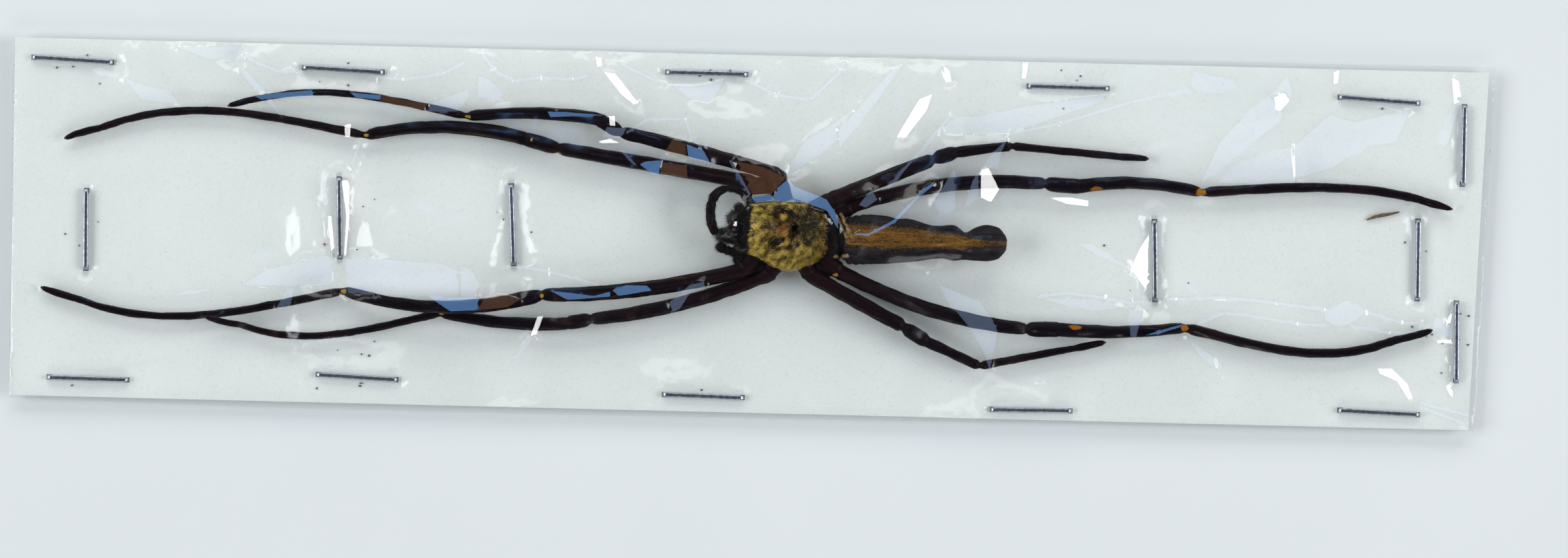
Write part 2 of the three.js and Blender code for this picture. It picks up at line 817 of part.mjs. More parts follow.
// Assembly

buildCard();

const carapace = wasm.Manifold.union([prosomaSolid(), ...carapaceHorns()]);
const clearOfProsoma = grown(prosomaSolid(), 1.35 * GAP);
addNode(animal, "cephalothorax", carapace, COLOURS.gold);
buildEyes(clearOfProsoma);
buildJaws(clearOfProsoma);
buildPalps(clearOfProsoma);
buildPedicel(clearOfProsoma);
buildAbdomen();
buildSpinnerets();
Object.keys(LEGS).forEach((name) => buildLeg(name, clearOfProsoma));

const heights = filmHeights();
buildFilm(heights);
STAPLES.forEach((staple, i) => {
  const name = `staple_${String(i + 1).padStart(2, "0")}`;
  buildStaple(name, staple, crownLevel(staple, heights));
});

export default part;
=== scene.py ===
# A golden silk orb weaver, dried and laid out on a card under stapled clear film, seen from straight above.
import json
import math

import bpy
import numpy as np
from mathutils import Matrix, Vector
from mathutils.geometry import delaunay_2d_cdt

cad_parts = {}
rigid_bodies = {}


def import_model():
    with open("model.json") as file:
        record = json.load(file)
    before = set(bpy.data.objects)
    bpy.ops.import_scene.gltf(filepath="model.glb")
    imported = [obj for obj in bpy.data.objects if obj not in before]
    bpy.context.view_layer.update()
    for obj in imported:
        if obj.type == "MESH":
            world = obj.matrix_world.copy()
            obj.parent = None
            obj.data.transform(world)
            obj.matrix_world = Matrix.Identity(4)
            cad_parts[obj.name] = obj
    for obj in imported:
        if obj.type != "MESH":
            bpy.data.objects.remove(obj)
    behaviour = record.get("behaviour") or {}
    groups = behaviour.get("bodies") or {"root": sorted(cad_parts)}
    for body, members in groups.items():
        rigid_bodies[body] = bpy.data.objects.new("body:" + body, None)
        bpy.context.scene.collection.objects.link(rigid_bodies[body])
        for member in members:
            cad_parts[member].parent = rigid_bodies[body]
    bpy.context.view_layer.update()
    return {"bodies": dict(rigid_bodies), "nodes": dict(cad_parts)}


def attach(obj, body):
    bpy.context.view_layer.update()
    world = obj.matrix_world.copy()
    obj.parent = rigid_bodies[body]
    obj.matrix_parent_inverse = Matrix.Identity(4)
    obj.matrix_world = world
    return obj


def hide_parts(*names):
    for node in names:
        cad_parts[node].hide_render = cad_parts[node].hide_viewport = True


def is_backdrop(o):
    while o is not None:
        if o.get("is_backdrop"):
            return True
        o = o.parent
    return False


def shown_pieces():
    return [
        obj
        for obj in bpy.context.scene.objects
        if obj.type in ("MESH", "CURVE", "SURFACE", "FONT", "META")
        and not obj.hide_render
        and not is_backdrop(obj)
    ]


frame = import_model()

# Sizes and places are in millimetres, in the frame's own axes, and meshes are made in metres.
MM = 0.001
BODY = next(iter(frame["bodies"]))

# The animal's heights count from this level, a little over the card's top.
REST = 1.7
CARD_TOP = 1.4

# The slants are how far the card's short sides lean in on the side of the animal's left legs.
CARD = {"length": 167.2, "width": 40.6, "left slant": 0.4, "right slant": 1.4, "thickness": 0.6}

# The wire's ends are turned in under the card at the low level, and their tips up to the tip level.
STAPLE = {"crown": 9.3, "wire": 0.5, "clinch": 3.6, "top": 2.1, "low": 0.27, "tip": 0.56,
          "bend": 0.3, "flatness": 1.2, "punch": 0.6}

# The middle of each staple's crown and its heading in degrees.
STAPLES = [
    [-77.0, 17.9, -2.4],
    [-46.3, 17.5, -1.9],
    [-5.1, 18.1, -0.3],
    [35.9, 17.5, -0.3],
    [71.2, 16.9, -3.0],
    [-74.4, -18.2, -0.8],
    [-43.9, -17.3, -2.5],
    [-4.6, -18.5, -0.8],
    [32.6, -19.2, 0.3],
    [72.0, -18.5, -1.9],
    [-75.0, -1.3, -89.2],
    [-46.3, 0.7, -88.1],
    [-26.7, 0.4, -86.9],
    [46.2, -1.9, -88.1],
    [76.0, -1.1, -89.2],
    [80.9, 12.0, -90.3],
    [80.6, -10.3, -89.2],
]

# Head and thorax: shares of the half width, and heights of the crest over the rest level, along the length.
PROSOMA = {"length": 10.6, "width": 7.8, "front": -1.15, "skew": 0.8, "rim": 2.4, "lie": 0.1}
PROSOMA_WIDTHS = [
    (0, 0.42), (0.04, 0.62), (0.12, 0.74), (0.22, 0.78), (0.3, 0.84), (0.42, 0.97),
    (0.58, 1.0), (0.72, 0.92), (0.86, 0.7), (0.95, 0.46), (1, 0.26),
]
PROSOMA_CREST = [
    (0, 3.6), (0.04, 4.6), (0.12, 5.25), (0.22, 5.3), (0.34, 4.75), (0.42, 4.7),
    (0.56, 4.85), (0.72, 4.6), (0.86, 3.9), (0.95, 3.1), (1, 2.6),
]
HORNS = [(4.1, 1.9), (3.5, -0.9)]
FOVEA = (5.35, 0.75)
THORAX_END = 9.3

# Lobes, pits and hollows of the thorax: place, half widths and height.
THORAX_FORMS = [
    [(5.15, 0.75), (0.38, 1.1), -0.6],
    [(4.3, 1.55), (0.65, 0.65), 0.3],
    [(4.2, -0.15), (0.75, 0.75), 0.38],
    [(5.9, -1.3), (0.8, 0.8), 0.2],
    [(6.8, 1.1), (1.25, 1.45), -0.42],
    [(3.95, 2.6), (0.5, 0.5), -0.3],
]

# Grooves that run out from the central pit on both sides: reach, bearing in degrees and depth.
GROOVES = [(3.6, 38, 0.12), (3.3, 72, 0.15), (3.2, 108, 0.17), (3.9, 142, 0.26)]

# Bare black spots in the thorax's gold hair: place and half width.
SPOTS = [(FOVEA, 0.42), ((4.1, 2.55), 0.5), ((4.85, 2.35), 0.5), ((3.45, -0.85), 0.6)]

# Abdomen sections: place along it, share of the width, underside, back and sideways shift.
ABDOMEN = {"length": 18.7, "width": 5.3, "front": 10.55, "side": -0.4}
ABDOMEN_SECTIONS = np.array([
    [0, 0.62, 0.9, 2.7, 0.1],
    [0.02, 0.88, 0.4, 3.3, 0.05],
    [0.06, 0.99, 0.15, 3.7, 0],
    [0.14, 1.0, 0.1, 3.8, 0],
    [0.235, 1.0, 0.05, 3.85, 0],
    [0.39, 0.93, 0.05, 3.75, 0],
    [0.52, 0.76, 0.1, 3.55, -0.02],
    [0.62, 0.68, 0.15, 3.45, -0.05],
    [0.675, 0.71, 0.2, 3.4, -0.12],
    [0.75, 0.55, 0.4, 3.3, -0.45],
    [0.81, 0.7, 1.0, 3.4, -0.15],
    [0.875, 0.77, 1.2, 3.5, 0],
    [0.945, 0.68, 1.25, 3.3, 0],
    [0.98, 0.45, 1.35, 2.95, 0],
    [1, 0.22, 1.7, 2.6, 0],
])
PEDICEL = {"width": 2.8, "height": 2.2, "level": 1.75, "side": -0.5}

# Tan folds of skin at the front of the abdomen. The first two are ridges, with three heights along each.
TAN_FOLDS = [[(9.75, 2.85), (11.3, -0.6)], [(10.35, 2.75), (11.85, -0.35)], [(10.0, -2.35), (11.3, -2.25)]]
RIDGE_HEIGHTS = [(1.7, 2.7, 3.3), (1.9, 3.1, 3.75)]

# The golden brown stripe along the abdomen's back: its middle, half width and strength.
STRIPE_MIDDLE = [(10.5, 0.1), (15.6, 0.0), (20, -0.1), (24.6, -0.4), (29.2, -0.4)]
STRIPE_HALF = [(10.5, 1.2), (13, 1.1), (15.6, 1.2), (20, 0.95), (24.6, 0.68), (27, 0.42), (29.2, 0.3)]
STRIPE_STRENGTH = [(10.5, 1.0), (24.0, 1.0), (25.6, 0.62), (29.3, 0.5)]

# Dried flesh between the hips and behind the thorax: middle over the rest level, and half sizes.
HIP_MASSES = [
    [(1.3, 5.0, 1.0), (1.7, 1.5, 1.3)],
    [(1.1, -3.4, 1.0), (1.9, 1.4, 1.3)],
    [(-0.3, -2.7, 1.0), (1.3, 1.2, 1.1)],
    [(9.6, 3.5, 1.2), (1.8, 1.0, 1.3)],
    [(8.5, -3.5, 1.0), (1.9, 1.3, 1.3)],
    [(9.5, -0.5, 1.4), (1.4, 2.7, 1.6)],
]

# Eye mounds as [radius, forward, sideways, height], with the eyes' places from each mound's middle.
EYE_RADIUS = 0.27
EYE_MOUNDS = [
    [[0.8, -0.15, 0, 4.3],
     [(-0.56, 0.34, 0.15), (-0.56, -0.34, 0.15), (-0.2, 0.38, 0.6), (-0.2, -0.38, 0.6)]],
    [[0.58, 0.2, 2.1, 3.95], [(-0.42, 0.12, 0.2), (-0.1, 0.36, 0.36)]],
    [[0.58, 0.2, -2.1, 3.95], [(-0.42, -0.12, 0.2), (-0.1, -0.36, 0.36)]],
]

# Coats of hair: count, how much their way strays, and the least and most length, width and lift in degrees.
COATS = {
    "carapace_hair": [22000, 0.3, (0.3, 0.65), (0.045, 0.10), (3, 16)],
    "head_hair": [5500, 0.5, (0.22, 0.65), (0.03, 0.055), (15, 50)],
    "abdomen_hair": [7000, 0.22, (0.16, 0.34), (0.025, 0.045), (8, 24)],
}

# Hair of the limbs: the least and most length and lift in degrees, and the width.
LIMB_HAIR = {
    "palp": [(0.2, 0.55), (22, 62), 0.03],
    "jaw": [(0.25, 0.7), (20, 60), 0.04],
    "leg": [(0.12, 0.32), (18, 55), 0.022],
}

# Jaws: half the distance between them, and how far each one reaches forward.
JAW = {"spread": 0.95, "reach": {"r": 0.1, "l": 1.55}}

# A jaw's line: place from the head's front, its shift by the jaw's reach, height and share of the radius.
JAW_LINE = [(1.2, 0, 2.75, 0.7), (0.7, 0, 2.7, 0.8), (0, 0, 2.55, 0.97), (-0.35, -0.5, 2.1, 1.0),
            (-0.4, -1, 1.5, 0.86), (-0.38, -1.15, 1.05, 0.58)]
JAW_RADIUS = 0.92

# A fang's line: place from the jaw's tip, shift to the head's middle, height and radius.
FANG_LINE = [(-0.1, 0, 0.75, 0.28), (-0.05, 0, 0.5, 0.27), (0.45, 0.15, 0.36, 0.24),
             (0.95, 0.35, 0.3, 0.17), (1.35, 0.55, 0.27, 0.06)]

# Palps as places over the rest level with the share of the radius there, and shares along of their joints.
PALP_RADIUS = 0.46
PALPS = {
    "palp_r": [
        (0.7, 2.7, 2.8, 1), (-0.3, 4.1, 3.1, 1), (-1.1, 4.85, 3.2, 0.85), (-2.3, 5.05, 3.2, 0.85),
        (-3.45, 4.6, 3.2, 1.05), (-4.1, 3.6, 3.2, 1.15), (-4.25, 2.4, 3.2, 1.15), (-4.15, 1.3, 3.2, 1.15),
        (-3.85, 0.4, 3.2, 1.1), (-3.45, -0.3, 3.15, 0.7),
    ],
    "palp_l": [
        (0.3, -1.5, 2.5, 0.9), (-0.6, -2.0, 2.6, 0.9), (-1.5, -2.1, 2.75, 1), (-2.3, -1.9, 2.95, 1),
        (-3.0, -1.6, 2.95, 1.2), (-3.6, -1.35, 2.85, 0.9),
    ],
}
PALP_JOINTS = {"palp_r": [0.22, 0.4, 0.62], "palp_l": [0.35, 0.7]}

# Spinnerets: each one's shift to the side and length.
SPINNERETS = [(0.3, 1.3), (-0.3, 1.3), (0.14, 1.6), (-0.14, 1.6)]

# Diameters of the segments of each pair of legs.
SEGMENTS = ["coxa", "femur", "patella", "tibia", "metatarsus", "tarsus"]
THICKNESS = {
    "1": [2.05, 1.75, 1.65, 1.45, 0.92, 0.8],
    "2": [2.2, 1.65, 1.55, 1.36, 0.84, 0.74],
    "3": [1.85, 1.75, 1.6, 1.16, 0.9, 0.8],
    "4": [1.95, 1.65, 1.7, 1.42, 1.1, 0.86],
}
SWELLINGS = {
    "coxa": [(0, 1.0), (0.5, 1.0), (0.76, 0.95), (0.9, 1.0), (1, 0.93)],
    "femur": [(0.05, 1.0), (0.25, 1.0), (0.55, 1.0), (0.8, 0.95), (0.95, 0.88), (1, 0.68)],
    "patella": [(0.02, 0.74), (0.3, 1.0), (0.7, 1.03), (1, 0.96)],
    "tibia": [(0.05, 1.08), (0.15, 1.12), (0.4, 1.04), (0.65, 0.98), (0.92, 0.92), (1, 0.66)],
    "metatarsus": [(0.01, 0.8), (0.05, 1.1), (0.22, 1.02), (0.42, 1.0), (0.62, 0.96), (0.82, 0.92),
                   (1, 0.84)],
    "tarsus": [(0.2, 1.0), (0.6, 0.96), (0.85, 0.78), (1, 0.34)],
}
METATARSUS_CURL = 0.45

# Shares of the radius: how far each segment is drawn in at its start, and how deep its creases are.
JOINT_DEPTHS = {"femur": 0.04, "patella": 0.13, "tibia": 0.05, "metatarsus": 0.13, "tarsus": 0.06}
CREASE_DEPTHS = {"femur": 0.2, "patella": 0.12, "tibia": 0.18, "metatarsus": 0.12}

# Each leg's hip, then each segment: length, heading in degrees, height of its end, bow and lift.
LEGS = {
    "r1": [[2.2, 2.7, 1.4], [3.7, 122, 1.2], [22.1, 171.4, 1.35], [3.9, 165.7, 1.1],
           [18.0, 180, 0.75, 1.15], [30.2, 179.8, 0.55, 2.2], [4.3, -162.5, 0.45, 0.1]],
    "r2": [[4.4, 2.6, 2.2], [4.4, 108, 1.9], [18.2, 166.2, 1.35, 0.2], [3.0, 150.8, 1.1],
           [14.7, -179.8, 0.8, 0.5], [23.4, 176.4, 0.9, 1.3], [4.0, -165.7, 1.35, 0.1]],
    "r3": [[6.2, 2.4, 2.2], [3.5, 28.5, 2.4], [12.5, 22.9, 1.5], [2.4, 19.7, 1.2],
           [6.6, 8, 0.8], [12.2, -4.2, 0.55], [3.5, -2.7, 0.45]],
    "r4": [[8.4, 1.7, 1.6], [3.6, 28.4, 1.3], [22.2, 7.9, 1.2, 1.2], [3.9, -2.9, 1.0],
           [13.7, -1.4, 0.8, 0.7], [23.9, 0, 0.55, 0.85], [4.9, -14.6, 0.45]],
    "l1": [[1.5, -1.7, 1.9], [3.1, -128.8, 1.9], [22.9, -171.6, 1.3, -0.75], [4.0, -166.7, 1.5],
           [18.5, 177.4, 0.75, -1.1, 1.15], [30.4, -177, 0.55, -2.25], [4.3, 163.7, 0.45, -0.1]],
    "l2": [[4.0, -2.2, 1.6], [3.0, -126.3, 1.25], [20.4, -164.6, 1.3, -0.8], [2.8, -167.6, 1.1],
           [14.3, 176.5, 0.5, -0.5], [22.8, -175.2, 0.75, -1.7], [4.1, 168.2, 1.6, -0.1]],
    "l3": [[6.0, -2.3, 2.0], [2.4, -63.8, 1.9], [12.2, -27.5, 1.3], [2.9, -31.8, 1.1],
           [6.8, -23.5, 0.75], [10.9, 12, 0.75], [3.7, 12.2, 0.95]],
    "l4": [[7.8, -1.8, 1.7], [3.4, -40, 1.5], [22.3, -15.6, 1.3, -1.2], [3.7, 0.2, 1.1],
           [14.1, 2.3, 0.8, -0.4], [23.7, -2.2, 0.55, -1.9], [4.7, 16.4, 0.45, -0.1]],
}

# Pale marks: segment, share along it, half length, warmth from yellow 0 to orange 1, angle round the leg
# and half angle in degrees. The angle runs from the side on the right hand of the leg's way over the top.
MARKS = {
    "r1": [
        ("tibia", 1.0, 0.33, 0.15, 100, 28),
        ("femur", 0.99, 0.4, 0.9, 165, 30),
        ("patella", 0.8, 0.16, 0.0, 80, 18),
    ],
    "r2": [("tibia", 1.0, 0.4, 0.1, 105, 26)],
    "r4": [("tibia", 1.0, 0.62, 0.75, 80, 75), ("tibia", 0.13, 0.8, 0.95, 45, 30)],
    "l1": [("tibia", 1.0, 0.42, 0.25, 95, 45), ("femur", 1.0, 0.25, 0.1, 100, 35)],
    "l2": [("tibia", 1.0, 0.3, 0.15, 90, 35)],
    "l4": [
        ("tibia", 1.0, 0.5, 0.85, 90, 70),
        ("tibia", 0.12, 0.8, 0.95, 125, 30),
        ("coxa", 0.97, 0.28, 0.2, 45, 22),
    ],
}

# Curves and noise


def profile(pairs, t):
    """A smooth curve without overshoot through pairs of place and value, read at t."""
    x, y = np.array(pairs, float).T
    step = np.diff(x)
    slope = np.diff(y) / step
    before, after = 2 * step[1:] + step[:-1], step[1:] + 2 * step[:-1]
    with np.errstate(divide="ignore", invalid="ignore"):
        mean = (before + after) / (before / slope[:-1] + after / slope[1:])
    tangent = np.concatenate([slope[:1], np.where(slope[:-1] * slope[1:] > 0, mean, 0), slope[-1:]])
    t = np.clip(t, x[0], x[-1])
    k = np.clip(np.searchsorted(x, t) - 1, 0, len(step) - 1)
    s = (t - x[k]) / step[k]
    rise = tangent[k] * s * (1 - s) ** 2 - tangent[k + 1] * s**2 * (1 - s)
    return y[k] * (1 + 2 * s) * (1 - s) ** 2 + y[k + 1] * s**2 * (3 - 2 * s) + rise * step[k]


def blur(values, reach):
    """values averaged along their first axis by a bell about reach samples wide."""
    half = int(3 * reach) + 1
    bell = np.exp(-0.5 * (np.arange(-half, half + 1) / reach) ** 2)
    bell /= bell.sum()
    padded = np.concatenate([np.repeat(values[:1], half, 0), values, np.repeat(values[-1:], half, 0)])
    columns = padded.reshape(len(padded), -1).T
    smooth = [np.convolve(column, bell, "valid") for column in columns]
    return np.array(smooth).T.reshape(values.shape)


def unit(vectors):
    return vectors / np.linalg.norm(vectors, axis=-1, keepdims=True)


def ripples(points, wavelength, seed, stretch=(1, 1, 1), waves=16):
    """Smooth noise of about -1 to 1 at points, made of waves in random directions."""
    draw = np.random.default_rng(seed)
    vectors = unit(draw.normal(size=(waves, 3))) * draw.uniform(0.7, 1.4, (waves, 1))
    phases = draw.uniform(0, math.tau, waves)
    places = points / np.array(stretch) @ vectors.T * (math.tau / wavelength)
    return np.sin(places + phases).sum(-1) / math.sqrt(waves)


def bump_at(distance, width):
    """A bell of height 1 that falls off over width."""
    return np.exp(-((distance / width) ** 2))


def mound(points, place, halves):
    """A bell over a place seen from above, with these half widths."""
    return bump_at(np.hypot(*((points[:, :2] - place) / halves).T), 1)


def near_line(points, start, end):
    """The distance of points from the line between start and end, and the share along it, from above."""
    start, end = np.array(start, float), np.array(end, float)
    run = end - start
    share = np.clip((points[..., :2] - start) @ run / (run @ run), 0, 1)
    foot = start + share[..., None] * run
    return np.linalg.norm(points[..., :2] - foot, axis=-1), share


def left_of(steps):
    """Steps seen from above, each turned a quarter to its left."""
    return np.stack([-steps[..., 1], steps[..., 0]], -1)


def heading_axes(degrees):
    """Steps of 1 along a heading seen from above, and to its left."""
    along = np.array([math.cos(math.radians(degrees)), math.sin(math.radians(degrees))])
    return np.stack([along, left_of(along)])


# Meshes


def loft(rings):
    """The points and faces of a closed tube through an array of rings."""
    count, sides = rings.shape[:2]
    points = np.vstack([rings.reshape(-1, 3), rings[0].mean(0), rings[-1].mean(0)])
    i, j = np.meshgrid(np.arange(count - 1), np.arange(sides), indexing="ij")
    a = i * sides + j
    b = i * sides + (j + 1) % sides
    quads = np.stack([a, a + sides, b + sides, b], -1).reshape(-1, 4)
    j = np.arange(sides)
    after = (j + 1) % sides
    start, end = np.full(sides, count * sides), np.full(sides, count * sides + 1)
    last = (count - 1) * sides
    return points, [quads, np.stack([start, j, after], -1), np.stack([end, last + after, last + j], -1)]


def join(parts):
    """The points and faces of several parts as one."""
    points, faces, offset = [], [], 0
    for part_points, part_faces in parts:
        points.append(part_points)
        faces += [f + offset for f in part_faces]
        offset += len(part_points)
    return np.vstack(points), faces


def fill_mesh(name, points, faces):
    mesh = bpy.data.meshes.new(name)
    corners = np.concatenate([f.ravel() for f in faces]).astype(np.int32)
    sizes = np.concatenate([np.full(len(f), f.shape[1]) for f in faces])
    starts = np.concatenate([[0], np.cumsum(sizes)[:-1]]).astype(np.int32)
    mesh.vertices.add(len(points))
    mesh.vertices.foreach_set("co", points.astype(np.float32).ravel())
    mesh.loops.add(len(corners))
    mesh.loops.foreach_set("vertex_index", corners)
    mesh.polygons.add(len(sizes))
    mesh.polygons.foreach_set("loop_start", starts)
    mesh.update(calc_edges=True)
    mesh.validate()
    return mesh


def placed(name, data):
    """A mesh, light or camera as an object in the scene."""
    item = bpy.data.objects.new(name, data)
    bpy.context.scene.collection.objects.link(item)
    return item


def reshaped(item):
    """The mesh that an object's modifiers make. The object itself goes."""
    mesh = bpy.data.meshes.new_from_object(item.evaluated_get(bpy.context.evaluated_depsgraph_get()))
    bpy.data.meshes.remove(item.data)
    return mesh


def dress(piece, finish, replaced):
    """Gives a piece its finish and body, and hides the nodes that it stands for."""
    piece.data.materials.append(finish)
    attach(piece, BODY)
    if replaced:
        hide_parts(*replaced)
    return piece


def add_piece(name, points, faces, finish, slot, replaced=(), marks=None, uv=None, sharp=None):
    """A named piece on the body. marks are values at the points that its finish reads."""
    mesh = fill_mesh(name, points * MM, faces)
    for mark, values in (marks or {}).items():
        mesh.attributes.new(mark, "FLOAT", "POINT").data.foreach_set("value", values.astype(np.float32))
    if uv is not None:
        corners = np.concatenate([f.ravel() for f in faces])
        mesh.uv_layers.new(name="OFBake").data.foreach_set("uv", uv[corners].astype(np.float32).ravel())
    mesh.shade_smooth()
    if sharp is not None:
        mesh.set_sharp_from_angle(angle=math.radians(sharp))
    return dress(placed(name, mesh), finish, replaced)


def fuse(parts, voxel):
    """One skin round overlapping closed parts, as points and four-sided faces."""
    rough = placed("fused", fill_mesh("fused", *join(parts)))
    remesh = rough.modifiers.new("skin", "REMESH")
    remesh.mode = "VOXEL"
    remesh.voxel_size = voxel
    made = reshaped(rough)
    points = np.empty(len(made.vertices) * 3)
    made.vertices.foreach_get("co", points)
    faces = np.empty(len(made.polygons) * 4, np.int32)
    made.loops.foreach_get("vertex_index", faces)
    bpy.data.meshes.remove(made)
    return points.reshape(-1, 3), faces.reshape(-1, 4)


def summed(index, values, count):
    return np.stack([np.bincount(index, v, count) for v in values.T], -1)


def smoothed(points, quads, rounds):
    """The points of a skin, each drawn halfway to its neighbours' mean in every round."""
    start, end = quads.ravel(), np.roll(quads, -1, 1).ravel()
    counts = np.bincount(start, minlength=len(points))[:, None]
    for _ in range(rounds):
        points = 0.5 * points + 0.5 * summed(start, points[end], len(points)) / counts
    return points


def face_normals(points, quads):
    a, b, c, d = (points[quads[:, k]] for k in range(4))
    return np.cross(c - a, d - b) / 2


def point_normals(points, quads):
    flat = np.repeat(face_normals(points, quads), 4, 0)
    return unit(summed(quads.ravel(), flat, len(points)))


# A tuft's patch on the unwrap, the share of its length that is rooted in, and its thickness by its width.
TUFT_PATCH = 0.003
TUFT_ROOT = 0.15
TUFT_RISE = 0.35


def add_tufts(name, roots, out, along, sizes, lift, spread, finish, slot, marks):
    """Flat spikes on a surface that lean from along towards out. sizes are each one's length and width, and
    spread is where each root lies on an unwrap of the surface."""
    length, width = sizes
    along = unit(along - out * (along * out).sum(-1, keepdims=True))
    lean = along * np.cos(lift)[:, None] + out * np.sin(lift)[:, None]
    side = np.cross(out, along)
    base = roots - lean * (length * TUFT_ROOT)[:, None]
    rise = np.cross(lean, side) * (width * TUFT_RISE)[:, None]
    half = side * (width / 2)[:, None]
    corners = np.stack([base + half, base - half, base - rise, roots + lean * length[:, None]], 1)
    first = np.arange(len(roots))[:, None] * 4
    turns = np.array([[0, 1, 2], [0, 3, 1], [1, 3, 2], [2, 3, 0]])
    faces = (first[:, None] + turns[None]).reshape(-1, 3)
    patch = np.array([[0, 0], [1, 0], [0, 1], [1, 1]]) * TUFT_PATCH
    uv = (np.clip(spread, 0.01, 0.99)[:, None] + patch[None]).reshape(-1, 2)
    marks = {mark: np.repeat(values, 4) for mark, values in marks.items()}
    add_piece(name, corners.reshape(-1, 3), [faces], finish, slot, marks=marks, uv=uv)


# Finishes


class Finish:
    """A material whose nodes work in millimetres."""

    def __init__(self, name, **sockets):
        self.material = bpy.data.materials.new(name)
        self.material.use_nodes = True
        self.tree = self.material.node_tree
        self.shader = self.tree.nodes["Principled BSDF"]
        coordinates = self.add("ShaderNodeTexCoord")
        scale = self.add("ShaderNodeVectorMath", operation="SCALE")
        scale.inputs["Scale"].default_value = 1 / MM
        self.tree.links.new(coordinates.outputs["Object"], scale.inputs[0])
        self.place = scale.outputs[0]
        for socket, value in sockets.items():
            self.set(socket.replace("_", " "), value)

    def add(self, kind, **settings):
        node = self.tree.nodes.new(kind)
        for key, value in settings.items():
            setattr(node, key, value)
        return node

    def plug(self, socket, value):
        if isinstance(value, bpy.types.NodeSocket):
            self.tree.links.new(value, socket)
        elif hasattr(value, "__len__") and len(value) == 3 and socket.type == "RGBA":
            socket.default_value = (*value, 1)
        else:
            socket.default_value = value

    def set(self, socket, value):
        self.plug(self.shader.inputs[socket], value)

    def rough(self, size, low, high):
        """Roughness that wanders between low and high in patches of this size."""
        self.set("Roughness", self.between(self.noise(size), low, high))

    def noise(self, size, detail=4, stretch=(1, 1, 1), roughness=0.55):
        """Noise with patches of about this size in millimetres, drawn out by stretch."""
        spread = self.add("ShaderNodeVectorMath", operation="DIVIDE")
        self.plug(spread.inputs[0], self.place)
        spread.inputs[1].default_value = stretch
        noise = self.add("ShaderNodeTexNoise")
        self.plug(noise.inputs["Vector"], spread.outputs[0])
        noise.inputs["Scale"].default_value = 1 / size
        noise.inputs["Detail"].default_value = detail
        noise.inputs["Roughness"].default_value = roughness
        return noise.outputs["Fac"]

    def mark(self, name):
        return self.add("ShaderNodeAttribute", attribute_name=name).outputs["Fac"]

    def ramp(self, factor, *stops):
        ramp = self.add("ShaderNodeValToRGB")
        self.plug(ramp.inputs[0], factor)
        elements = ramp.color_ramp.elements
        while len(elements) < len(stops):
            elements.new(1)
        for element, (place, colour) in zip(elements, stops):
            element.position = place
            element.color = (*colour, 1) if len(colour) == 3 else colour
        return ramp.outputs[0]

    def between(self, factor, low, high):
        """A number that runs from low to high as factor goes from 0 to 1."""
        span = self.add("ShaderNodeMapRange")
        self.plug(span.inputs["Value"], factor)
        self.plug(span.inputs["To Min"], low)
        self.plug(span.inputs["To Max"], high)
        return span.outputs[0]

    def math(self, operation, *values):
        node = self.add("ShaderNodeMath", operation=operation)
        for socket, value in zip(node.inputs, values):
            self.plug(socket, value)
        return node.outputs[0]

    def patch(self, mark, size, stretch=(1, 1, 1), raggedness=0.8):
        """1 where the mark value is over a half, with an edge that noise breaks up."""
        wander = self.math("MULTIPLY_ADD", self.noise(size, stretch=stretch), raggedness, -raggedness / 2)
        total = self.math("ADD", self.mark(mark), wander)
        edge = self.add("ShaderNodeMapRange")
        self.plug(edge.inputs["Value"], total)
        edge.inputs["From Min"].default_value = 0.4
        edge.inputs["From Max"].default_value = 0.6
        return edge.outputs[0]

    def mix(self, factor, one, other, blend="MIX"):
        node = self.add("ShaderNodeMix", data_type="RGBA", blend_type=blend)
        self.plug(node.inputs[0], factor)
        self.plug(node.inputs[6], one)
        self.plug(node.inputs[7], other)
        return node.outputs[2]

    def bump(self, height, depth, under=None):
        """Relief of depth millimetres."""
        node = self.add("ShaderNodeBump")
        node.inputs["Distance"].default_value = depth * MM
        self.plug(node.inputs["Height"], height)
        if under is not None:
            self.plug(node.inputs["Normal"], under)
        self.set("Normal", node.outputs[0])
        return node.outputs[0]


def chitin_finish():
    """Near-black leg plates with a red-brown cast, and pale marks where the mark value says."""
    f = Finish("chitin", Specular_IOR_Level=0.07)
    broad, fine = f.noise(1.6, stretch=(3, 1, 1)), f.noise(0.12, detail=3)
    blacks = [(0.002, 0.0012, 0.0035), (0.005, 0.0022, 0.0055), (0.014, 0.005, 0.007)]
    dark = f.ramp(broad, *zip((0.3, 0.55, 0.8), blacks))
    dark = f.mix(f.mark("ruddy"), dark, (0.016, 0.005, 0.006))
    pale = f.mix(f.mark("warmth"), (0.55, 0.37, 0.035), (0.40, 0.13, 0.012))
    pale = f.mix(f.between(f.noise(0.22, detail=3), 0.0, 0.55), pale, (0.08, 0.03, 0.01))
    f.set("Base Color", f.mix(f.patch("pale", 0.25), dark, pale))
    f.rough(0.5, 0.3, 0.5)
    f.bump(f.noise(0.6, stretch=(4, 1, 1)), 0.06, f.bump(fine, 0.03))
    return f.material


